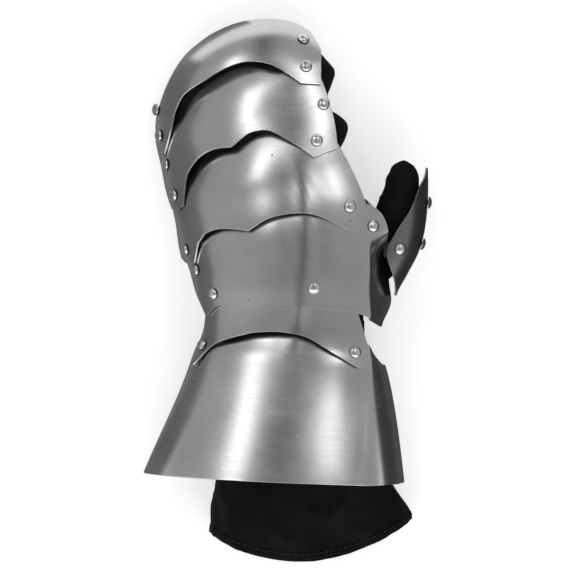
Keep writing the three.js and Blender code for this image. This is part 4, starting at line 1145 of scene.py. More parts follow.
    def dome_drop(self, w: Array, s: Array) -> Array:
        """How far the domed front lies below the vault.

        Args:
            w: Places across the hand.
            s: Stations along the hand.

        Returns:
            The drops.
        """
        dome = self.dome
        ahead = np.maximum(0, s - self.hand.front) / self.hand.tip_reach
        aside = np.abs(w - dome.centre) / dome.half_width
        radius = (ahead ** dome.power + aside ** dome.power) ** (1 / dome.power)
        share = np.clip((radius - dome.start) / (1 - dome.start), 0, 1) * dome.steep
        return dome.drop * np.minimum(ahead, 1) * (1 - np.sqrt(1 - share * share))

    def tip_surface(self, w: Array, s: Array) -> Array:
        """Points of the fingertip plate.

        Args:
            w: Places across the hand.
            s: Stations along the hand.

        Returns:
            The points.
        """
        points = self.hand.vault(w, s)
        points[..., 2] -= self.dome_drop(w, s)
        return points

    def crease(self, s: Array) -> Array:
        """Place w of the fold at the thumb side of the hand plate."""
        return np.interp(s, (0, 32, self.hand.knuckle), self.wing_crease)

    def hand_surface(self, w: Array, s: Array) -> Array:
        """Points of the hand plate, with the wing folded down past its crease.

        Args:
            w: Places across the hand.
            s: Stations along the hand.

        Returns:
            The points.
        """
        crease = self.crease(s)
        out = np.maximum(w - crease, 0)
        flat = smooth_step(*self.wing_flat, s)
        fold = lerp(self.wing_fold, self.tab_fold, flat)
        lean = self.hand.lean(s)
        wing = np.stack([
            out * np.cos(fold) * np.cos(lean),
            out * np.cos(fold) * np.sin(lean),
            -out * np.sin(fold),
        ], axis=-1)
        return self.hand_vault(np.minimum(w, crease), s) + wing

    def band_dip(self, s: Array) -> Array:
        """How far the band dips to slide under the hand plate."""
        return (self.hand.sheet + self.hand.slide_fit) * smooth_step(-8, 16, s)

    def band_depth(self, w: Array, s: Array) -> Array:
        """Depth of the wrist band, which rises behind its pivots.

        Args:
            w: Places across the hand.
            s: Stations along the hand.

        Returns:
            The depths.
        """
        behind = np.maximum(0, -s)
        rise = self.band_lift * behind * behind / (behind + 4)
        return self.band_dip(s) + self.hand_depth(w, s + self.hand.slide_travel) - rise

    def hidden_front(self, rear: Array, left: float, right: float, pivot: float, cover: Array) -> Array:
        """Front edge a lap's length past the rear edge of the plate that lies over it.

        Args:
            rear: The plate's own rear edge.
            left: Its end at the little-finger side.
            right: Its end at the thumb side.
            pivot: Station of the pivots in front.
            cover: Rear edge of the plate above.

        Returns:
            One point for each point of the rear edge.
        """
        w = lerp(left, right, (rear[:, 0] - rear[0, 0]) / (rear[-1, 0] - rear[0, 0]))
        near = [
            np.interp(w + k * self.lap_spread, cover[:, 0], cover[:, 1], left=pivot, right=pivot)
            for k in (-2, -1, 0, 1, 2)
        ]
        s = np.maximum(pivot + self.side_lap, np.mean(near, axis=0) + self.lap_length)
        return np.stack([w, s], axis=1)

    def between(self, rear: Array, front: Array, left_bow: float, right_bow: float) -> tuple[Array, Array]:
        """Places (w, s) of a plate between two edges, with both sides bowed out.

        Args:
            rear: The rear edge.
            front: The front edge.
            left_bow: Bow at the little-finger side.
            right_bow: Bow at the thumb side.

        Returns:
            Grids of w and of s.
        """
        share = np.linspace(0, 1, len(rear))
        v = np.linspace(0, 1, self.rows + 1)[:, None]
        bow = right_bow * share ** 6 - left_bow * (1 - share) ** 6
        w = lerp(rear[:, 0], front[:, 0], v) + bow * 4 * v * (1 - v)
        return w, lerp(rear[:, 1], front[:, 1], v)

    def hand_places(self) -> tuple[Array, Array]:
        """Places (w, s) of the hand plate with its wing.

        Returns:
            Grids of w and of s.
        """
        rear = self.hand_rear.points(self.hand)
        front_s = self.hand.knuckle + 2
        cover = self.rear_rear.points(self.hand)
        edge = self.crease(np.array(front_s))
        front = self.hidden_front(rear, self.hand_left, float(edge), self.hand.knuckle, cover)
        front[-1] = (edge, front_s)
        w, s = self.between(rear, front, self.hand_bow, 0)
        v = np.linspace(0, 1, self.rows + 1)
        s[:, -1] = lerp(rear[-1, 1], front_s, v)
        w[:, -1] = self.crease(s[:, -1])
        blend = np.linspace(0, 1, w.shape[1])[None, :] ** 8
        w = w * (1 - blend) + w[:, -1:] * blend
        w = np.minimum(w, self.crease(s))
        reach = along_values(self.wing_shares, v) * self.wing_reach
        out = np.linspace(0, 1, self.wing_columns + 1)[None, 1:]
        wing_w = w[:, -1:] + reach[:, None] * out
        wing_s = s[:, -1:] - self.wing_back * out * ((1 - v) ** 3)[:, None]
        return np.concatenate([w, wing_w], axis=1), np.concatenate([s, wing_s], axis=1)

    def band_places(self) -> tuple[Array, Array]:
        """Places (w, s) of the wrist band.

        Returns:
            Grids of w and of s.
        """
        rear = self.band_rear.points(self.hand)
        share = np.linspace(0, 1, len(rear))
        left, right, station = self.band_front
        front = np.stack([lerp(left, right, share), np.full(len(rear), station)], axis=1)
        return self.between(rear, front, 0, 0)

    def build(self, dresser: Dresser) -> None:
        """Builds the five open plates.

        Args:
            dresser: Writes the pieces.
        """
        hand = self.hand
        tip = self.tip_rear.points(hand)
        middle = self.middle_rear.points(hand)
        rear = self.rear_rear.points(hand)
        tip_places = self.between(tip, self.tip_front.points(hand), 0, 0)
        middle_front = self.hidden_front(middle, *self.middle_ends, hand.front, tip)
        middle_places = self.between(middle, middle_front, *self.middle_bows)
        rear_front = self.hidden_front(rear, *self.rear_ends, hand.middle, middle)
        rear_places = self.between(rear, rear_front, *self.rear_bows)
        made = {
            "fingertip_plate": (self.tip_surface, tip_places),
            "middle_finger_plate": (self.middle_surface, middle_places),
            "rear_finger_plate": (self.rear_surface, rear_places),
            "hand_plate": (self.hand_surface, self.hand_places()),
            "wrist_band": (self.band_surface, self.band_places()),
        }
        painted_shade_bands = dict(self.painted_shade_bands)
        for node, (surface, (w, s)) in made.items():
            mesh = dresser.grid(surface(w, s))
            # Painted shade along the hidden front edge, under the plate above.
            if node in painted_shade_bands:
                dresser.painted_shade(mesh, hand.to_frame(surface(w[-1], s[-1])), painted_shade_bands[node])
            dresser.sheet(mesh, f"{node}_steel", Slot.STEEL, node, hand.sheet, self.bevel)


@dataclass
class BellCuff:
    """The flared cuff, a closed ring whose top follows the vault.

    Creases, sides and floors are pairs of sizes at the wrist and at the rim. Dents sink the last
    columns before the crease, and flank is the place of the curve's control past it.
    """

    plates: Plates
    top_columns: int = 46
    round_columns: int = 14
    floor_columns: int = 16
    rows: int = 40
    creases: Pair = (62.0, 62.5)
    sides: Pair = (66.0, 87.0)
    floors: Pair = (8.0, 0.0)
    dents: tuple[float, ...] = (0.5, 0.3, 0.12)
    flare: float = 0.6
    flank: Pair = (0.82, 0.86)
    widest: float = 0.42
    corner: float = 0.62
    front_station: float = 15.0
    cut_back: float = 23.0
    left_cut: float = 0.35

    @property
    def hand(self) -> HandForm:
        """The vault that the cuff follows."""
        return self.plates.hand

    def depth(self, w: Array, s: Array) -> Array:
        """Depth of the cuff under the vault."""
        span = Span(self.hand.width / 2, 0)
        return self.hand.lap + self.plates.band_dip(s) + self.hand.fall_away(w, s, span)

    def top(self, w: Array, s: Array, inset: Any = 0.0) -> Array:
        """Points of the top, sunk further by an inset."""
        normal = self.hand.normal(self.hand.vault, w, s)
        return self.hand.vault(w, s) - normal * (self.depth(w, s) + inset)[..., None]

    def ring(self, column: int, s: Array) -> Array:
        """One column of the cuff.

        Args:
            column: Its place round the ring, from the little-finger side over the top.
            s: Its stations.

        Returns:
            One point for each station.
        """
        hand = self.hand
        along = -s / hand.cuff_length
        shift = hand.size(s, "shift")
        left = shift - hand.size(s, "left") * hand.side_limit
        crease = lerp(*self.creases, along)
        side = lerp(*self.sides, np.maximum(along, 0) ** self.flare)
        floor = lerp(*self.floors, np.clip(along, 0, 1))
        if column <= self.top_columns:
            share = column / self.top_columns
            over = shift + (left - shift) * math.cos(share * math.pi)
            w = over if share < 0.5 else lerp(shift, crease, share * 2 - 1)
            past = column - self.top_columns + len(self.dents) - 1
            dent = self.dents[past] * np.sin(np.pi * np.clip(along, 0, 1)) if past >= 0 else 0.0
            return self.top(w, s, dent)
        fold = self.top(crease, s)
        start = self.top(left, s)
        widest = hand.point(side, s, (fold[:, 2] + floor) * self.widest)
        low_right = hand.point(side * self.corner, s, floor)
        low_left = hand.point(left * self.corner, s, floor)
        out, up = self.flank
        flank = hand.point(lerp(crease, side, out), s, fold[:, 2] * up)
        runs = (
            (fold, flank, widest, self.round_columns),
            (widest, hand.point(side, s, floor), low_right, self.round_columns),
            (low_right, (low_right + low_left) / 2, low_left, self.floor_columns),
            (low_left, hand.point(left, s, floor), start, self.round_columns),
        )
        step = column - self.top_columns
        for begin, control, end, steps in runs:
            if step <= steps:
                return bowed(begin, control, end, step / steps)
            step -= steps
        raise ValueError("column past the ring")

    def front(self, column: int) -> float:
        """Station of the front edge, which is cut back at both sides.

        Args:
            column: Its place round the ring.

        Returns:
            The station.
        """
        share = np.array(column / self.top_columns)
        right = smooth_step(0.75, 1.25, share)
        left = 1 - smooth_step(0, 0.15, share)
        return float(self.front_station - self.cut_back * np.maximum(right, left * self.left_cut))

    def build(self, dresser: Dresser) -> None:
        """Builds the cuff.

        Args:
            dresser: Writes the pieces.
        """
        columns = self.top_columns + self.round_columns * 3 + self.floor_columns
        points = np.zeros((self.rows + 1, columns + 1, 3))
        for column in range(columns + 1):
            s = np.linspace(-self.hand.cuff_length, self.front(column % columns), self.rows + 1)
            points[:, column] = self.ring(column % columns, s)
        mesh = dresser.grid(points, merge=True)
        thickness, bevel = self.hand.sheet, self.plates.bevel
        dresser.sheet(mesh, "bell_cuff_steel", Slot.STEEL, "bell_cuff", thickness, bevel)


@dataclass
class ThumbPlate:
    """A leaf of steel bent round the outside of the thumb, in a darker copy of the plates' steel as
    painted shade.

    A place on it is (t, angle): t along it from the lower point, and the angle in degrees round it
    from the palm side over the outside.
    """

    rear: float = 34.0
    front: float = 117.5
    radius: float = 22.0
    height: float = 17.5
    middle: float = 32.0
    outer: tuple[float, ...] = (77.9, 85, 92.2, 96.2, 98, 98.7, 98.5)
    near: tuple[float, ...] = (15, 57, 88, 82, 62, 45, 14)
    far: tuple[float, ...] = (-12, -45, -62, -62, -50, -36, -8)
    rows: int = 48
    columns: int = 30
    bevel: float = 0.28
    probe: float = 0.004

    def point(self, t: Array, degrees: Array) -> Array:
        """Points of the plate's outer surface.

        Args:
            t: Shares along the plate.
            degrees: Angles round it.

        Returns:
            The points.
        """
        t, degrees = np.broadcast_arrays(np.asarray(t, float), np.asarray(degrees, float))
        angle = np.radians(degrees)
        outer = along_values(self.outer, t.ravel()).reshape(t.shape)
        return np.stack([
            outer - self.radius + self.radius * np.cos(angle),
            lerp(self.rear, self.front, t),
            self.middle + self.height * np.sin(angle),
        ], axis=-1)

    def normal(self, t: Array, degrees: Array) -> Array:
        """Outward normals of the plate.

        Args:
            t: Shares along the plate.
            degrees: Angles round it.

        Returns:
            One normal for each place.
        """
        ahead = self.point(t + self.probe, degrees) - self.point(t - self.probe, degrees)
        around = self.point(t, degrees + 1) - self.point(t, degrees - 1)
        return unit(np.cross(ahead, around))

    def build(self, dresser: Dresser) -> None:
        """Builds the thumb plate.

        Args:
            dresser: Writes the pieces.
        """
        t = np.linspace(0, 1, self.rows + 1)[:, None]
        share = np.linspace(0, 1, self.columns + 1)[None, :]
        near = along_values(self.near, t[:, 0])[:, None]
        far = along_values(self.far, t[:, 0])[:, None]
        mesh = dresser.grid(self.point(t + 0 * share, lerp(near, far, share)))
        thickness = dresser.hand.sheet
        dresser.sheet(mesh, "thumb_plate_steel", Slot.THUMB_STEEL, "thumb_plate", thickness, self.bevel)


@dataclass(frozen=True)
class RivetForm:
    """A domed rivet: head, shank and tail."""

    head_radius: float = 4.0
    head_height: float = 2.3
    seat: float = 0.4
    lip: float = 0.3
    shank_radius: float = 1.6
    tail_radius: float = 2.9
    tail_height: float = 1.0
    sides: int = 28
    dome_steps: int = 8

    def mesh(self, grip: float) -> bmesh.types.BMesh:
        """Spins the rivet about +Z, its seat surface at z = 0.

        Args:
            grip: Length between the surface and the tail, in millimetres.

        Returns:
            The mesh, in millimetres, with the height above its foot as the attribute edge.
        """
        profile = [
            (0, -grip - self.tail_height),
            (self.tail_radius - self.lip, -grip - self.tail_height),
            (self.tail_radius, -grip - self.tail_height + self.lip),
            (self.tail_radius, -grip),
            (self.shank_radius, -grip),
            (self.shank_radius, self.seat),
            (self.head_radius - self.lip / 2, self.seat),
            (self.head_radius, self.seat + self.lip / 2),
        ]
        for step in range(1, self.dome_steps + 1):
            angle = step / self.dome_steps * math.pi / 2
            radius = self.head_radius * math.cos(angle)
            profile.append((max(radius, 0.0), self.seat + self.head_height * math.sin(angle)))
        mesh = bmesh.new()
        verts = [mesh.verts.new((r, 0, z)) for r, z in profile]
        edges = [mesh.edges.new(pair) for pair in zip(verts, verts[1:])]
        bmesh.ops.spin(
            mesh, geom=verts + edges, axis=(0, 0, 1), cent=(0, 0, 0),
            angle=2 * math.pi, steps=self.sides, use_merge=True,
        )
        bmesh.ops.remove_doubles(mesh, verts=mesh.verts, dist=1e-4)
        bmesh.ops.recalc_face_normals(mesh, faces=mesh.faces)
        layer = mesh.verts.layers.float.new("edge")
        for vert in mesh.verts:
            vert[layer] = max(vert.co.z - self.seat, 0.0)
        return mesh


@dataclass(frozen=True)
class RivetPlace:
    """Where a rivet stands: on a surface, at (w, s) or (t, angle), with its grip."""

    node: str
    surface: Surface
    a: float
    b: float
    grip: float


@dataclass
class Rivets:
    """The nineteen domed rivets."""

    plates: Plates
    thumb: ThumbPlate
    form: RivetForm = RivetForm()
    pivot_grip: float = 5.45
    strap_grip: float = 4.9
    slide_grip: float = 5.1
    turn: float = 1.7
    sharp: float = math.radians(40)

    @property
    def hand(self) -> HandForm:
        """The vault that places are measured on."""
        return self.plates.hand

    def __post_init__(self) -> None:
        """Works out where each rivet stands."""
        plates, thumb = self.plates, self.thumb
        tip, middle = plates.tip_surface, plates.middle_surface
        rear, hand, band = plates.rear_surface, plates.hand_surface, plates.band_surface
        wrist_left, wrist_right = plates.wrist_pivots
        pivot, strap, slide = self.pivot_grip, self.strap_grip, self.slide_grip
        front, mid, knuckle = self.hand.front, self.hand.middle, self.hand.knuckle
        self.places = (
            RivetPlace("tip_pivot_left_rivet", tip, -43.2, front, pivot),
            RivetPlace("tip_pivot_right_rivet", tip, 62.4, front, pivot),
            RivetPlace("tip_strap_left_rivet", tip, -37.8, front + 17.2, strap),
            RivetPlace("tip_strap_right_rivet", tip, 68.6, front + 16.2, strap),
            RivetPlace("middle_pivot_left_rivet", middle, -49.2, mid, pivot),
            RivetPlace("middle_pivot_right_rivet", middle, 50.1, mid, pivot),
            RivetPlace("middle_strap_left_rivet", middle, -48.2, mid + 23.5, strap),
            RivetPlace("middle_strap_right_rivet", middle, 63.2, mid + 18.7, strap),
            RivetPlace("rear_pivot_left_rivet", rear, -52.8, knuckle, pivot),
            RivetPlace("rear_pivot_right_rivet", rear, 57.5, knuckle, pivot),
            RivetPlace("slide_left_rivet", hand, -40.6, 40.4, slide),
            RivetPlace("slide_right_rivet", hand, 25.2, 36.2, slide),
            RivetPlace("hand_side_rivet", hand, -50.6, 60.7, strap),
            RivetPlace("thumb_tab_rivet", hand, 70.3, 64.9, strap),
            RivetPlace("wrist_left_rivet", band, wrist_left, 0, pivot),
            RivetPlace("wrist_right_rivet", band, wrist_right, 0, pivot),
            RivetPlace("thumb_hinge_rivet", thumb.point, 0.362, 66, strap),
            RivetPlace("thumb_lower_rivet", thumb.point, 0.405, 4, strap),
            RivetPlace("thumb_upper_rivet", thumb.point, 0.728, 4, strap),
        )

    def find(self, node: str) -> RivetPlace:
        """The place of one rivet."""
        return next(place for place in self.places if place.node == node)

    def frame(self, place: RivetPlace) -> tuple[Array, Array]:
        """Middle of a rivet's seat, and its three axes as columns.

        Args:
            place: The rivet's place.

        Returns:
            The seat's middle and the axes.
        """
        a, b = np.array(place.a), np.array(place.b)
        seat = place.surface(a, b)
        if place.surface == self.thumb.point:
            normal = self.thumb.normal(a, b)
            along = place.surface(a + self.thumb.probe, b) - place.surface(a - self.thumb.probe, b)
        else:
            normal = self.hand.normal(place.surface, a, b)
            along = place.surface(a, b + self.hand.probe) - place.surface(a, b - self.hand.probe)
        along = unit(along)
        across = unit(np.cross(along, normal))
        return seat, np.stack([across, along, normal], axis=1)

    def seats(self) -> list[Array]:
        """Middle of each rivet's seat."""
        return [self.frame(place)[0] for place in self.places]

    def build(self, dresser: Dresser) -> None:
        """Builds the rivets, each turned a little differently.

        Args:
            dresser: Writes the pieces.
        """
        for index, place in enumerate(self.places):
            seat, axes = self.frame(place)
            mesh = self.form.mesh(place.grip)
            turn = index * self.turn
            spin = np.array([
                [math.cos(turn), -math.sin(turn), 0],
                [math.sin(turn), math.cos(turn), 0],
                [0, 0, 1],
            ])
            matrix = axes @ spin
            for vert in mesh.verts:
                vert.co = dresser.hand.to_frame(matrix @ np.array(vert.co) + seat)
            rivet = dresser.piece(place.node.replace("_rivet", "_dome"), mesh, Slot.RIVET)
            rivet.data.set_sharp_from_angle(angle=self.sharp)
            dresser.on_body(rivet, place.node)


@dataclass(frozen=True)
class SleeveShape:
    """Outline of the glove's section at a station, in millimetres."""

    top_left: float
    top_right: float
    side_left: float
    side_right: float
    floor_left: float
    floor_right: float
    floor: float


@dataclass(frozen=True)
class FingerPiece:
    """A suede piece over one row of finger joints: its bodies, its stations and those of its bend."""

    name: str
    node: str
    bodies: tuple[str, str]
    cut: Pair
    bend: Pair


@dataclass
class Glove:
    """The black suede glove: sleeve, palm, four fingers and thumb, cut between the bodies.

    A row of the thumb's table is y, x, half width, z and half height. Folds are their height and
    width. The core is the place across the hand and the height that a bend is measured at.
    """

    plates: Plates
    cuff: BellCuff
    sleeve_folds: Pair = (3.4, 22.0)
    palm_folds: Pair = (2.2, 26.0)
    finger_folds: Pair = (0.7, 9.0)
    thumb_folds: Pair = (0.9, 11.0)
    hem_run: float = 9.0
    wrist_cut: float = 16.0
    hand_cut: float = 48.0
    palm_turn: float = 74.0
    palm_round: float = 15.0
    wrist_bend: Pair = (-24.0, 12.0)
    slide_bend: Pair = (20.0, 44.0)
    knuckle_bend: Pair = (64.0, 94.0)
    thumb_bend: tuple[Triple, Triple] = ((52.0, 30.0, 20.0), (72.0, 56.0, 28.0))
    finger_pieces: tuple[FingerPiece, ...] = (
        FingerPiece(
            "rear_finger_suede", "glove_rear_fingers", ("hand", "rear_fingers"), (70, 98), (64, 94)
        ),
        FingerPiece(
            "middle_finger_suede", "glove_middle_fingers", ("rear_fingers", "middle_fingers"),
            (98, 141), (104, 137),
        ),
        FingerPiece(
            "fingertip_suede", "glove_fingertips", ("middle_fingers", "fingertips"), (141, 200),
            (147, 175),
        ),
    )
    core: Pair = (5.0, 30.0)
    stations: tuple[float, ...] = (-137.0, -84.0, -42.0, 0.0, 26.5, 78.0)
    shapes: tuple[SleeveShape, ...] = (
        SleeveShape(-36, 82, -50, 113, -29, 82, 2),
        SleeveShape(-37, 66, -48, 95, -30, 65, 2),
        SleeveShape(-40, 52, -52, 80, -30, 50, 6.1),
        SleeveShape(-46, 47, -50, 69, -32, 46, 10.5),
        SleeveShape(-44, 54, -50, 69, -34, 46, 0.6),
        SleeveShape(-52, 60, -50, 64, -36, 46, 0.6),
    )
    top_columns: int = 52
    side_columns: int = 18
    floor_columns: int = 34
    side_share: float = 0.45
    smoothing: int = 10
    hem_rise: float = 17.0
    hem_half: float = 60.0
    hem_middle: float = 16.0
    hem_width: float = 5.3
    stitch_inset: float = 1.3
    stitch_pitch: float = 4.2
    stitch_size: Triple = (1.45, 0.45, 0.45)
    hem_lift: float = 0.75
    hem_groove: float = 0.45
    wall: float = 1.8
    fill: float = 0.3
    cuff_room: Pair = (0.8, 1.6)
    room_growth: float = 0.194
    arm_narrowing: float = 24.0
    palm_start: Pair = (18.0, 40.0)
    pivot_depth: float = 6.85
    slide_depth: float = 6.5
    finger_depth: float = 11.8
    finger_step: float = 1.6
    finger_round: float = 13.0
    finger_boxy: float = 0.86
    finger_gap: float = 0.3
    knuckle_pinch: float = 0.05
    pinch_reach: float = 5.0
    seam_height: float = 0.5
    seam_width: float = 0.09
    seam_places: Pair = (0.42, math.pi - 0.42)
    finger_stations: tuple[float, ...] = (66.0, 78.0, 119.5, 141.0, 163.0, 180.0, 199.0)
    finger_edges: tuple[tuple[float, ...], ...] = (
        (-50.0, -53.0, -49.0, -45.0, -41.0, -36.0, -32.0),
        (-24.0, -25.5, -22.0, -18.5, -15.5, -12.5, -10.0),
        (3.0, 3.0, 7.0, 10.0, 13.0, 15.5, 18.0),
        (30.0, 31.5, 36.0, 39.5, 42.0, 45.0, 47.0),
        (56.0, 60.0, 64.5, 76.5, 71.5, 72.5, 70.0),
    )
    index_bulges: tuple[Pair, ...] = (
        (66.0, 56.0), (78.0, 60.0), (100.0, 60.5), (110.0, 63.0), (119.5, 73.3), (126.0, 73.0),
        (132.5, 68.0), (138.0, 65.0), (143.0, 68.5), (153.0, 78.8), (160.0, 79.0), (166.0, 77.0),
        (172.0, 73.5), (180.0, 70.0), (190.0, 69.0), (199.0, 66.0),
    )
    finger_floors: tuple[float, ...] = (4.0, 6.5, 12.5, 13.6, 14.6, 15.2, 16.0)
    finger_ends: tuple[float, ...] = (176.0, 191.0, 197.0, 191.0)
    finger_sides: int = 40
    thumb_table: tuple[tuple[float, ...], ...] = (
        (22.0, 42.0, 10.0, 19.0, 8.0),
        (38.0, 56.0, 10.5, 19.0, 8.5),
        (50.0, 67.0, 11.0, 22.0, 9.0),
        (60.0, 73.0, 11.5, 28.0, 10.0),
        (68.0, 75.5, 12.8, 31.0, 10.8),
        (78.0, 76.6, 13.7, 32.0, 11.2),
        (88.0, 78.3, 13.6, 32.0, 11.2),
        (98.0, 80.0, 12.4, 32.0, 11.0),
        (107.0, 81.4, 11.4, 32.0, 10.2),
        (114.0, 82.2, 9.8, 32.0, 8.8),
        (119.0, 82.6, 7.0, 32.0, 6.3),
        (121.6, 82.7, 3.2, 32.0, 3.0),
    )
    thumb_rows: int = 74
    thumb_sides: int = 44
    thumb_lap: float = 1.3
    lap_station: float = 96.5
    lap_slant: float = 3.0

    @property
    def hand(self) -> HandForm:
        """The vault that the glove lies under."""
        return self.plates.hand

    def shape(self, s: float) -> SleeveShape:
        """Outline of the section at a station, eased between the table's rows.

        Args:
            s: The station.

        Returns:
            The outline.
        """
        last = len(self.stations) - 2
        i = int(np.clip(np.searchsorted(self.stations, s, side="left") - 1, 0, last))
        part = float(smooth_step(self.stations[i], self.stations[i + 1], np.array(s)))
        low, high = self.shapes[i], self.shapes[i + 1]
        return SleeveShape(*(lerp(a, b, part) for a, b in zip(astuple(low), astuple(high))))

    def depth(self, w: Array, s: Array) -> Array:
        """Depth of the glove's back under the vault, clear of the steel's inside.

        Args:
            w: Places across the hand.
            s: Stations along the hand.

        Returns:
            The depths.
        """
        hand = self.hand
        edge = self.cuff.front_station
        cuff = self.cuff.depth(w, np.minimum(s, edge)) + hand.sheet
        room = lerp(*self.cuff_room, smooth_step(-20, 0, s)) + self.room_growth * np.clip(s, 0, edge)
        ahead = np.clip(s, 0, None)
        dip = self.plates.band_dip(ahead) + self.plates.hand_depth(w, ahead)
        arm = np.maximum(self.pivot_depth + dip, cuff + room)
        arm = arm + self.arm_narrowing * smooth_step(0, hand.cuff_length, -s)
        palm = self.slide_depth + self.plates.hand_depth(w, s)
        return lerp(arm, palm, smooth_step(*self.palm_start, s))

    def ring(self, s: float) -> Array:
        """Closed section of sleeve or palm at a station, as rows of (w, z).

        Args:
            s: The station.

        Returns:
            The rows, none repeated.
        """
        hand = self.hand
        shape = self.shape(s)
        w = np.linspace(shape.top_left, shape.top_right, self.top_columns + 1)
        level = max(s, -hand.cuff_length)
        where = np.full_like(w, level)
        rise = hand.height(w + hand.probe, where) - hand.height(w - hand.probe, where)
        slope = rise / (2 * hand.probe)
        depth = self.depth(w, np.full_like(w, s))
        length = np.hypot(slope, 1)
        top = np.stack([w + slope * depth / length, hand.height(w, where) - depth / length], axis=1)
        floor_right = np.array([shape.floor_right, shape.floor])
        floor_left = np.array([shape.floor_left, shape.floor])
        right = np.array([shape.side_right, lerp(shape.floor, top[-1, 1], self.side_share)])
        left = np.array([shape.side_left, lerp(shape.floor, top[0, 1], self.side_share)])
        found = [top]
        runs = (
            (top[-1], right, floor_right, self.side_columns),
            (floor_right, (floor_right + floor_left) / 2, floor_left, self.floor_columns),
            (floor_left, left, top[0], self.side_columns),
        )
        for begin, control, end, steps in runs:
            t = (np.arange(1, steps + 1) / steps)[:, None]
            found.append(bowed(begin, control, end, t))
        ring = np.concatenate(found)[:-1]
        for _ in range(self.smoothing):
            ring = (np.roll(ring, 1, axis=0) + 2 * ring + np.roll(ring, -1, axis=0)) / 4
        ring[:, 1] = np.maximum(ring[:, 1], shape.floor)
        return ring

    def folded(self, points: Array, depth: float, size: float) -> Array:
        """Pushes a loft in and out in soft folds.

        Args:
            points: Rows of points, the last column repeating the first.
            depth: Height of the folds in millimetres.
            size: Width of the folds in millimetres.

        Returns:
            The folded points.
        """
        ring = points[:, :-1]
        around = np.roll(ring, -1, axis=1) - np.roll(ring, 1, axis=1)
        along = np.gradient(ring, axis=0)
        outward = unit(np.cross(around, along))
        pushed = ring.copy()
        for row in range(ring.shape[0]):
            for column in range(ring.shape[1]):
                x, y, z = ring[row, column] / size
                fold = noise.noise((x + y * 0.5, y * 0.55 - x * 0.3, z * 1.3))
                fine = noise.noise((x * 2.3 + 7, y * 1.5 + x, z * 2.4))
                crest = 0.5 - abs(fold) * 1.6
                push = depth * (crest + 0.35 * fine - 0.35)
                pushed[row, column] += outward[row, column] * push
        pushed[..., 2] = np.where(ring[..., 2] < 3, ring[..., 2], pushed[..., 2])
        return np.concatenate([pushed, pushed[:, :1]], axis=1)

    def loft(self, stations: Array, hem: bool = False) -> Array:
        """Rows of points through the sections at stations.

        Args:
            stations: The stations.
            hem: Whether the first station is the curved hem.

        Returns:
            The points, the last column repeating the first.
        """
        rows = []
        first, last = stations[0], stations[-1]
        for s in stations:
            ring = self.ring(float(s))
            w, z = ring[:, 0], ring[:, 1]
            place = np.full_like(w, s)
            if hem:
                share = (last - s) / (last - first)
                rise = self.hem_rise * ((w - self.hem_middle) / self.hem_half) ** 2
                place = place + rise * share ** 1.5
            row = self.hand.point(w, place, z)
            rows.append(np.concatenate([row, row[:1]]))
        return np.stack(rows)

    def closed_front(self, points: Array, stations: Array, start: float) -> Array:
        """Draws the rows past a station in to one point.

        Args:
            points: Rows of the loft.
            stations: A station for each row.
            start: Where it starts to close.

        Returns:
            The closed rows.
        """
        end = stations[-1]
        done = points.copy()
        for row, s in enumerate(stations):
            if s > start:
                share = math.sqrt(max(0.0, 1 - ((s - start) / (end - start)) ** 2))
                centre = points[row].mean(axis=0)
                done[row] = centre + (points[row] - centre) * share
        return done

    def suede(self, dresser: Dresser, name: str, parts: Sequence[Array]) -> bpy.types.Object:
        """Makes one suede piece of one or more lofts.

        Args:
            dresser: Writes the piece.
            name: Its name.
            parts: The lofts.

        Returns:
            The object.
        """
        whole = bmesh.new()
        for points in parts:
            part = dresser.grid(points, merge=True)
            held = bpy.data.meshes.new(name)
            part.to_mesh(held)
            part.free()
            whole.from_mesh(held)
            bpy.data.meshes.remove(held)
        made = dresser.piece(name, whole, Slot.GLOVE)
        dresser.thicken(made, self.wall, even=False)
        dresser.freeze(made)
        return made

    def outer_edge(self, s: Array) -> Array:
        """Place w of the index finger's outer side, pinched in where the straps pass.

        Args:
            s: Stations.

        Returns:
            One place for each station.
        """
        line = spline(self.index_bulges, np.linspace(0, 1, 200))
        return np.interp(s, line[:, 0], line[:, 1])

    def finger(self, k: int, stations: Array) -> Array:
        """One finger's tube, with its seams and its pinched knuckles.

        Args:
            k: The finger, 0 for the little one.
            stations: Its stations.

        Returns:
            Rows of points, the last column repeating the first.
        """
        hand = self.hand
        end = self.finger_ends[k]
        s = np.asarray(stations, float)
        left = np.interp(s, self.finger_stations, self.finger_edges[k]) + self.finger_gap
        inner = np.interp(s, self.finger_stations, self.finger_edges[k + 1])
        right = (self.outer_edge(s) if k == 3 else inner) - self.finger_gap
        centre = (left + right) / 2
        half = (right - left) / 2
        floor = np.interp(s, self.finger_stations, self.finger_floors)
        lead = s + hand.tip_reach * 0.1
        fitted = np.interp(s, (64, 86), (self.slide_depth + 8, self.finger_depth))
        top = hand.height(centre, s) - fitted - self.plates.dome_drop(centre, lead)
        tall = np.maximum((top - floor) / 2, 6)
        middle = floor + tall
        closing = np.clip((s - (end - self.finger_round)) / self.finger_round, 0, 1)
        share = np.sqrt(np.maximum(1 - closing ** 2.2, 0))
        joints = sum(np.exp(-((s - joint) / self.pinch_reach) ** 2) for joint in (hand.middle, hand.front))
        pinch = 1 - self.knuckle_pinch * joints
        angle = np.linspace(0, 2 * math.pi, self.finger_sides + 1)
        across = -np.sign(np.cos(angle)) * np.abs(np.cos(angle)) ** self.finger_boxy
        up = np.sign(np.sin(angle)) * np.abs(np.sin(angle)) ** self.finger_boxy
        seams = sum(np.exp(-((angle - place) / self.seam_width) ** 2) for place in self.seam_places)
        seam = self.seam_height * seams
        scale = (share * pinch)[:, None]
        w = centre[:, None] + (half[:, None] + seam) * scale * across
        z = middle[:, None] + (tall[:, None] + seam) * scale * up
        return hand.point(w, s[:, None] + 0 * w, z)

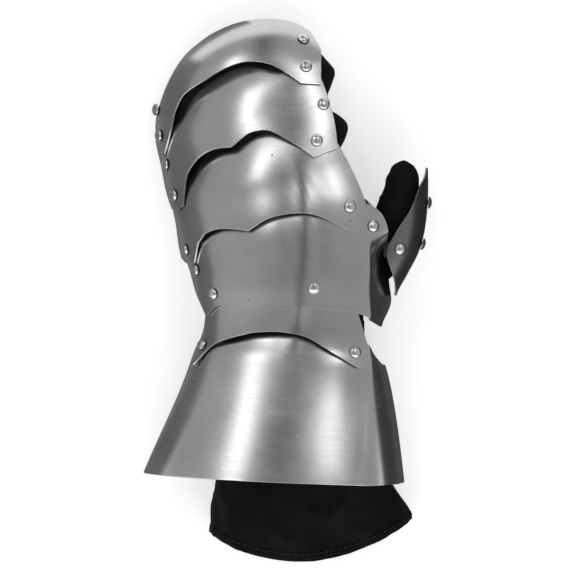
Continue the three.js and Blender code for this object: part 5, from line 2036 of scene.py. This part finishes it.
    def fingers(self, first: float, last: float) -> list[Array]:
        """The tubes of all four fingers between two stations, where they reach that far.

        Args:
            first: First station.
            last: Last station.

        Returns:
            One loft for each finger.
        """
        found = []
        for k, end in enumerate(self.finger_ends):
            stop = min(last, end)
            stations = np.linspace(first, stop, max(int((stop - first) / self.finger_step), 6))
            if stop == end:
                turn = end - self.finger_round
                share = np.linspace(0, 1, 12)[1:]
                body = np.linspace(first, turn, max(int((turn - first) / self.finger_step), 4))
                tip = turn + self.finger_round * np.sin(share * math.pi / 2)
                stations = np.concatenate([body, tip])
            found.append(self.folded(self.finger(k, stations), *self.finger_folds))
        return found

    def thumb(self) -> Array:
        """The thumb's tube, whose lower panel laps over the upper one.

        Returns:
            Rows of points, closed at the tip.
        """
        y, x, half, z, tall = spline(self.thumb_table, np.linspace(0, 1, self.thumb_rows)).T
        angle = np.linspace(0, 2 * math.pi, self.thumb_sides + 1)
        across = -np.cos(angle)
        up = np.sin(angle)
        lap_y = self.lap_station - across * self.lap_slant
        lap = self.thumb_lap * (1 - smooth_step(-0.5, 0.5, y[:, None] - lap_y))
        seam = self.seam_height * np.exp(-((angle - 0.5) / 0.08) ** 2)
        px = x[:, None] + (half[:, None] + lap + seam) * across
        pz = z[:, None] + (tall[:, None] + lap + seam) * up
        points = np.stack([px, y[:, None] + 0 * px, pz], axis=-1)
        pole = points[-1:].mean(axis=1, keepdims=True) + np.array([0, 0.9, 0])
        cap = lerp(points[-1:], pole, 0.6) + np.array([0, 0.15, 0])
        points = np.concatenate([points, cap, np.broadcast_to(pole, cap.shape)])
        return self.folded(points, *self.thumb_folds)

    def hem_band(self, points: Array) -> Array:
        """Raises the turned-up hem along the sleeve's rear edge.

        Args:
            points: The sleeve's rows.

        Returns:
            The rows with the hem.
        """
        ring = points[:, :-1]
        around = np.roll(ring, -1, axis=1) - np.roll(ring, 1, axis=1)
        outward = unit(np.cross(around, np.gradient(ring, axis=0)))
        run = np.linalg.norm(np.diff(ring, axis=0), axis=-1).cumsum(axis=0)
        run = np.concatenate([np.zeros((1, ring.shape[1])), run])
        lift = self.hem_lift * (1 - smooth_step(self.hem_width - 0.6, self.hem_width + 0.6, run))
        past = (run - self.hem_width + self.stitch_inset) / 0.5
        dent = self.hem_groove * np.exp(-(past ** 2))
        ring = ring + outward * (lift - dent)[..., None]
        return np.concatenate([ring, ring[:, :1]], axis=1)

    def stitches(self, dresser: Dresser, points: Array) -> None:
        """Lays a row of stitches round the hem.

        Args:
            dresser: Writes the piece.
            points: The sleeve's rows.
        """
        run = np.linalg.norm(np.diff(points, axis=0), axis=-1).mean(axis=1).cumsum()
        row = int(np.searchsorted(run, self.hem_width - self.stitch_inset)) + 1
        line = points[row]
        length = np.linalg.norm(np.diff(line, axis=0), axis=1).sum()
        count = int(length / self.stitch_pitch)
        places = resampled(line, count * 2 + 1)
        mesh = bmesh.new()
        for k in range(count):
            middle = self.hand.to_frame(places[2 * k + 1])
            ahead = Vector(places[2 * k + 2] - places[2 * k]).normalized()
            turn = ahead.to_track_quat("X", "Z").to_matrix().to_4x4()
            made = bmesh.ops.create_uvsphere(mesh, u_segments=6, v_segments=5, radius=1)["verts"]
            for vert in made:
                vert.co = turn @ (vert.co * Vector(self.stitch_size) * MM) + Vector(middle)
        thread = dresser.piece("hem_stitching", mesh, Slot.GLOVE)
        thread.data.materials[0] = ThreadFinish().material("waxed_thread")
        body = dresser.body_of["glove_cuff"]
        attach(thread, body)
        LOG.info("%s rides on %s", thread.name, body)

    def middle_of(self, s: float) -> Array:
        """Point in metres inside the hand at a station."""
        across, height = self.core
        return self.hand.to_frame(self.hand.point(np.array(across), np.array(s), np.array(height)))

    def bend(self, stations: Pair) -> list[Array]:
        """Points in metres inside the hand at the two stations of a bend."""
        return [self.middle_of(s) for s in stations]

    def join(
        self, made: bpy.types.Object, node: str, bodies: tuple[str, str], bend: Sequence[Array]
    ) -> None:
        """Hides the CAD node that a suede piece stands for, bakes the piece's transform and logs it.

        Args:
            made: The piece.
            node: The CAD node that it stands for.
            bodies: The body that it follows first, and the other one.
            bend: Where it starts to turn and where it has turned fully, in metres; not used.
        """
        start, end = (tuple(place) for place in bend)
        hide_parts(node)
        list(bodies)
        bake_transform(made)
        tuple(start)
        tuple(end)
        LOG.info("%s bends between %s and %s for %s", made.name, *bodies, node)

    def build(self, dresser: Dresser) -> None:
        """Builds the glove.

        Args:
            dresser: Writes the pieces.
        """
        hem = self.stations[0]
        near_hem = hem + np.linspace(0, self.hem_run, 12)[:-1]
        stations = np.concatenate([near_hem, np.linspace(hem + self.hem_run, self.wrist_cut, 74)])
        sleeve = self.hem_band(self.folded(self.loft(stations, hem=True), *self.sleeve_folds))
        made = self.suede(dresser, "sleeve_suede", [sleeve])
        self.join(made, "glove_cuff", ("cuff", "band"), self.bend(self.wrist_bend))
        self.stitches(dresser, sleeve)
        wrist = self.loft(np.linspace(self.wrist_cut, self.hand_cut, 17))
        made = self.suede(dresser, "wrist_suede", [self.folded(wrist, *self.palm_folds)])
        self.join(made, "glove_wrist", ("band", "hand"), self.bend(self.slide_bend))
        turn = self.palm_turn
        rounded = turn + self.palm_round * np.sin(np.linspace(0.1, 1, 12) * math.pi / 2)
        stations = np.concatenate([np.linspace(self.hand_cut, turn, 14), rounded])
        palm = self.closed_front(self.loft(stations), stations, turn)
        made = self.suede(dresser, "palm_suede", [self.folded(palm, *self.palm_folds)])
        self.join(made, "glove_hand", ("hand", "rear_fingers"), self.bend(self.knuckle_bend))
        for piece in self.finger_pieces:
            made = self.suede(dresser, piece.name, self.fingers(*piece.cut))
            self.join(made, piece.node, piece.bodies, self.bend(piece.bend))
        made = self.suede(dresser, "thumb_suede", [self.thumb()])
        self.join(made, "glove_thumb", ("hand", "thumb"), self.hand.to_frame(np.array(self.thumb_bend)))


@dataclass
class Leathers:
    """The black straps: under the fingers, inside the hand plate and on the thumb."""

    plates: Plates
    thumb: ThumbPlate
    rivets: Rivets
    glove: Glove
    thickness: float = 1.6
    width: float = 10.0
    gap: float = 0.5
    end: float = 5.0
    back: float = 2.0
    bevel: float = 0.35
    columns: int = 8
    tip_slant: float = 0.7
    right_lip: float = 0.4
    left_lip: float = -2.2
    left_back: float = 3.6
    hang: float = 0.62
    hand_width: float = 8.0
    hand_path: tuple[Pair, ...] = ((-20.0, 62.0), (12.0, 62.6), (42.0, 63.6))
    hand_end: Pair = (76.0, 64.6)
    hinge_angles: Pair = (95.6, 46.0)
    thumb_reach: Pair = (0.33, 0.8)

    @property
    def hand(self) -> HandForm:
        """The vault that places are measured on."""
        return self.plates.hand

    def strip(self, points: Array, normals: Array, width: float, bow: float) -> Array:
        """Rows of a strip along a middle line, its edges bowed down.

        Args:
            points: The middle line.
            normals: Which way its top faces.
            width: Width in millimetres.
            bow: How far the edges fall.

        Returns:
            The points.
        """
        along = unit(np.gradient(points, axis=0))
        side = unit(np.cross(along, normals))
        up = unit(np.cross(side, along))
        share = np.linspace(-1, 1, self.columns + 1)[None, :, None]
        return points[:, None] + side[:, None] * share * width / 2 - up[:, None] * bow * share * share

    def under(self, surface: Surface, normal: Surface, path: Array) -> tuple[Array, Array]:
        """Middle line of a strap under a surface, and its normals."""
        normals = normal(path[:, 0], path[:, 1])
        return surface(path[:, 0], path[:, 1]) - normals * (self.hand.sheet + self.gap), normals

    def finish(self, dresser: Dresser, name: str, node: str, points: Array) -> None:
        """Thickens a strap and puts it on its body.

        Args:
            dresser: Writes the pieces.
            name: The piece's name.
            node: The CAD node.
            points: The strap's rows.
        """
        mesh = dresser.grid(points)
        dresser.sheet(mesh, name, Slot.LEATHER, node, self.thickness, self.bevel, even=False)

    def finger_strap(
        self, surface: Surface, left: RivetPlace, right: RivetPlace, slant: float
    ) -> Array:
        """A strap that hangs from two rivets and passes under the fingers.

        Args:
            surface: The plate that it hangs in.
            left: Rivet at the little-finger side.
            right: Rivet at the thumb side.
            slant: Turn of the left end, with the plate's edge, in radians.

        Returns:
            The strap's points.
        """
        hand, glove = self.hand, self.glove
        middle = (left.b + right.b) / 2
        floor = float(np.interp(middle, glove.finger_stations, glove.finger_floors)) - self.thickness
        low_left = float(np.interp(middle, glove.finger_stations, glove.finger_edges[0])) - 0.5
        low_right = float(glove.outer_edge(np.array(middle))) + 0.5
        lips = []
        ends = ((right, 1, self.right_lip, self.back), (left, -1, self.left_lip, self.left_back))
        for place, out, lip, back in ends:
            w = place.a + np.array([-self.end, -3.0, lip]) * out
            path = np.stack([w, np.full(3, place.b - back)], axis=1)
            found, _ = self.under(surface, lambda a, b: hand.normal(surface, a, b), path)
            lips.append(found)
        right_z, left_z = (lip[-1, 2] * self.hang + floor * (1 - self.hang) for lip in lips)
        across = [
            (low_right + 0.4, right_z),
            (low_right - 1.5, floor + 8),
            (low_right - 12, floor),
            ((low_left + low_right) / 2, floor - 0.4),
            (low_left + 12, floor),
            (low_left + 5, floor + 8),
            (low_left + 6, left_z),
        ]
        under = [
            hand.point(np.array(w), np.array(lerp(right.b, left.b, (i + 1) / 8)), np.array(z))
            for i, (w, z) in enumerate(across)
        ]
        route = np.concatenate([lips[0], np.array(under), lips[1][::-1]])
        line = resampled(spline(route, np.linspace(0, 1, 400)), 90)
        ahead = unit(np.gradient(line, axis=0))
        lean = float(hand.lean(np.array(middle))) - slant * np.linspace(0, 1, len(ahead)) ** 3
        along = np.stack([-np.sin(lean), np.cos(lean), np.zeros(len(ahead))], axis=1)
        normals = unit(np.cross(ahead, along))
        return self.strip(line, normals, self.width - 2, 0.5)

    def build(self, dresser: Dresser) -> None:
        """Builds the five straps.

        Args:
            dresser: Writes the pieces.
        """
        plates, thumb = self.plates, self.thumb
        find = self.rivets.find
        side, tab = find("hand_side_rivet"), find("thumb_tab_rivet")
        hinge, lower = find("thumb_hinge_rivet"), find("thumb_lower_rivet")
        knots = [(side.a - self.end, side.b), *self.hand_path, (tab.a, tab.b), self.hand_end]
        path = resampled(spline(knots, np.linspace(0, 1, 400)), 70)
        surface = plates.hand_surface
        line, normals = self.under(surface, lambda a, b: self.hand.normal(surface, a, b), path)
        self.finish(dresser, "hand_leather", "hand_strap", self.strip(line, normals, self.hand_width, 0.9))
        across = np.stack([np.full(24, hinge.a), np.linspace(*self.hinge_angles, 24)], axis=1)
        inside = np.stack([np.linspace(*self.thumb_reach, 30), np.full(30, lower.b)], axis=1)
        on_thumb = (
            ("hinge_leather", "thumb_hinge_leather", across, 0.5),
            ("thumb_leather", "thumb_strap", inside, 0.9),
        )
        for name, node, places, bow in on_thumb:
            line, normals = self.under(thumb.point, thumb.normal, places)
            self.finish(dresser, name, node, self.strip(line, normals, self.width, bow))
        hung = (
            ("fingertip", plates.tip_surface, "tip", self.tip_slant),
            ("middle_finger", plates.middle_surface, "middle", 0.0),
        )
        for name, surface, row, slant in hung:
            ends = (find(f"{row}_strap_left_rivet"), find(f"{row}_strap_right_rivet"))
            strap = self.finger_strap(surface, *ends, slant)
            self.finish(dresser, f"{name}_leather", f"{name}_strap", strap)


def staged(name: str, mesh: bmesh.types.BMesh, material: bpy.types.Material) -> bpy.types.Object:
    """Makes an object that belongs to the stage and not to the part.

    Args:
        name: Its name.
        mesh: Its mesh, which is freed.
        material: Its material.

    Returns:
        The object.
    """
    data = bpy.data.meshes.new(name)
    mesh.to_mesh(data)
    mesh.free()
    data.materials.append(material)
    made = bpy.data.objects.new(name, data)
    bpy.context.scene.collection.objects.link(made)
    made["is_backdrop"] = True
    return made


@dataclass(frozen=True)
class SoftBox:
    """A rectangular lamp over the object, as bright as its radiance says."""

    name: str
    place: Pair
    size: Pair
    radiance: float
    height: float = 1.3

    def build(self, x: float, y: float) -> None:
        """Hangs the lamp over a centre in plan and tilts it to the centre.

        Args:
            x: The centre's x in metres.
            y: The centre's y in metres.
        """
        lamp = bpy.data.lights.new(self.name, "AREA")
        lamp.shape = "RECTANGLE"
        lamp.size, lamp.size_y = self.size
        lamp.energy = self.radiance * math.pi * self.size[0] * self.size[1]
        made = bpy.data.objects.new(self.name, lamp)
        made.location = (x + self.place[0], y + self.place[1], self.height)
        made.rotation_euler = (
            -math.atan2(self.place[1], self.height), math.atan2(self.place[0], self.height), 0
        )
        made.visible_camera = False
        bpy.context.scene.collection.objects.link(made)


@dataclass(frozen=True)
class Card:
    """A bent card beside the object, seen only in its reflections.

    Args:
        name: Its name.
        side: How far aside it stands; its foot runs back under the object.
        shade: How light its grey is, between 0 and 1.
        length: Its length.
        height: Its height.
        foot: How far from the middle the foot ends.
        lift: Height of the foot over the floor.
    """

    name: str
    side: float
    shade: float
    length: float = 0.42
    height: float = 0.064
    foot: float = 0.03
    lift: float = 0.0008

    def build(self, x: float, y: float) -> None:
        """Stands the card beside a centre in plan.

        Args:
            x: The centre's x in metres.
            y: The centre's y in metres.
        """
        mesh = bmesh.new()
        bmesh.ops.create_grid(mesh, x_segments=2, y_segments=1, size=0.5)
        foot = math.copysign(self.foot, self.side)
        bends = ((foot, self.lift), (self.side, self.lift), (self.side, self.height))
        for vert in mesh.verts:
            aside, rise = bends[round((vert.co.x + 0.5) * 2)]
            vert.co = Vector((x + aside, y + vert.co.y * self.length, rise))
        grey = Graph(self.name).surface({"Base Color": (self.shade,) * 3, "Roughness": 1.0})
        made = staged(self.name, mesh, grey)
        made.visible_camera = False
        made.visible_diffuse = False
        made.visible_shadow = False
        made.visible_transmission = False


@dataclass(frozen=True)
class Studio:
    """Pale floor, soft boxes past the fingertips and behind, and the camera straight above."""

    frame_side: float = 0.375
    distance: float = 2.0
    sensor: float = 36.0
    boxes: tuple[SoftBox, ...] = (
        SoftBox("front_left_box", (-0.58, 1.0), (0.32, 0.7), 2.6),
        SoftBox("front_right_box", (0.52, 0.98), (0.28, 0.62), 2.8),
        SoftBox("rear_left_box", (-0.75, -1.5), (0.7, 0.7), 2.2),
        SoftBox("rear_right_box", (0.75, -1.5), (0.7, 0.7), 2.2),
    )
    sky: float = 0.4
    sky_rise: Pair = (0.6, 0.95)
    flank: float = 0.48
    rear: float = 1.15
    rear_turn: Pair = (-0.35, -0.65)
    gap: float = 0.13
    gap_edge: Pair = (0.2, 0.03)
    horizon: float = 0.8
    horizon_rise: Pair = (0.12, 0.02)
    floor_size: float = 14.0
    cards: tuple[Card, ...] = (Card("dark_flag", 0.112, 0.16), Card("grey_flag", -0.125, 0.42))
    aim_height: float = 0.04

    def build(self, centre: Pair) -> None:
        """Builds floor, lights, world and camera round a centre in plan.

        Args:
            centre: The centre's x and y in metres.
        """
        x, y = centre
        mesh = bmesh.new()
        bmesh.ops.create_grid(mesh, x_segments=1, y_segments=1, size=self.floor_size / 2)
        staged("floor", mesh, FloorFinish().material("floor"))
        for box in self.boxes:
            box.build(x, y)
        for card in self.cards:
            card.build(x, y)
        self.world()
        lens = bpy.data.cameras.new("camera")
        lens.sensor_width = self.sensor
        lens.lens = self.sensor * self.distance / self.frame_side
        lens.clip_end = 50
        camera = bpy.data.objects.new("camera", lens)
        camera.location = (x, y, self.distance + self.aim_height)
        bpy.context.scene.collection.objects.link(camera)
        bpy.context.scene.camera = camera
        bpy.context.scene.view_settings.view_transform = "Standard"

    def world(self) -> None:
        """Makes the room light: grey above, white behind the object for the camera."""
        world = bpy.data.worlds.new("room")
        bpy.context.scene.world = world
        graph = Graph("room", world)
        where = graph.node("ShaderNodeTexCoord", output="Generated")
        aside, ahead, rise = (graph.node("ShaderNodeSeparateXYZ", {0: where}, output=k) for k in "XYZ")
        above = graph.mix(rise.between(*self.sky_rise), (self.flank,) * 3, (self.sky,) * 3)
        outer, inner = self.gap_edge
        middle = aside.between(-outer, -inner) * aside.between(outer, inner)
        above = graph.mix(middle, above, (self.gap,) * 3)
        above = graph.mix(ahead.between(*self.rear_turn), above, (self.rear,) * 3)
        low = rise.between(*self.horizon_rise)
        mirrored = low * (graph.ray("Glossy") + graph.ray("Transmission"))
        shown = graph.mix(mirrored, above, (self.horizon,) * 3)
        colour = graph.mix(graph.ray("Camera"), shown, (1.0, 1.0, 1.0))
        back = graph.node("ShaderNodeBackground", {"Color": colour, "Strength": 1.0})
        graph.node("ShaderNodeOutputWorld", {"Surface": back})


def place_origin(plates: Plates, joints: Sequence[dict[str, Any]]) -> None:
    """Sets where the frame's origin lies, from the wrist joint between the two wrist pivots.

    Args:
        plates: The plates, whose hand gets the origin.
        joints: The frame's joints.
    """
    wrist = next(joint for joint in joints if joint["name"] == "wrist")
    pivots = plates.band_surface(np.array(plates.wrist_pivots), np.zeros(2))
    plates.hand.origin = pivots.mean(axis=0) - np.array(wrist["pos_m"]) / MM
    LOG.info("origin %s", plates.hand.origin.round(3))


def main() -> None:
    """Builds the gauntlet round its frame."""
    logging.basicConfig(level=logging.INFO, format="%(name)s: %(message)s")
    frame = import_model()
    cad_box = [[float(v) for v in corner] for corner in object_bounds()]
    bodies = frame["record"]["behaviour"]["bodies"]
    hand = HandForm()
    plates = Plates(hand)
    place_origin(plates, frame["joints"])
    thumb = ThumbPlate()
    rivets = Rivets(plates, thumb)
    finishes = {
        Slot.STEEL: SteelFinish(colour=(0.58, 0.585, 0.595), roughness=0.25).material("satin_steel"),
        # A darker copy of the satin steel: painted shade on the thumb side.
        Slot.THUMB_STEEL: SteelFinish(colour=(0.27, 0.27, 0.268), roughness=0.34).material("shaded_steel"),
        Slot.RIVET: RivetFinish().material("polished_rivet"),
        Slot.LEATHER: LeatherFinish().material("oiled_leather"),
        Slot.GLOVE: SuedeFinish().material("black_suede"),
    }
    body_of = {node: body for body, nodes in bodies.items() for node in nodes}
    dresser = Dresser(hand, finishes, body_of, rivets.seats())
    low, high = cad_box
    Studio().build(((low[0] + high[0]) / 2, (low[1] + high[1]) / 2))
    plates.build(dresser)
    cuff = BellCuff(plates)
    cuff.build(dresser)
    thumb.build(dresser)
    rivets.build(dresser)
    glove = Glove(plates, cuff)
    glove.build(dresser)
    Leathers(plates, thumb, rivets, glove).build(dresser)


if __name__ == "__main__":
    main()
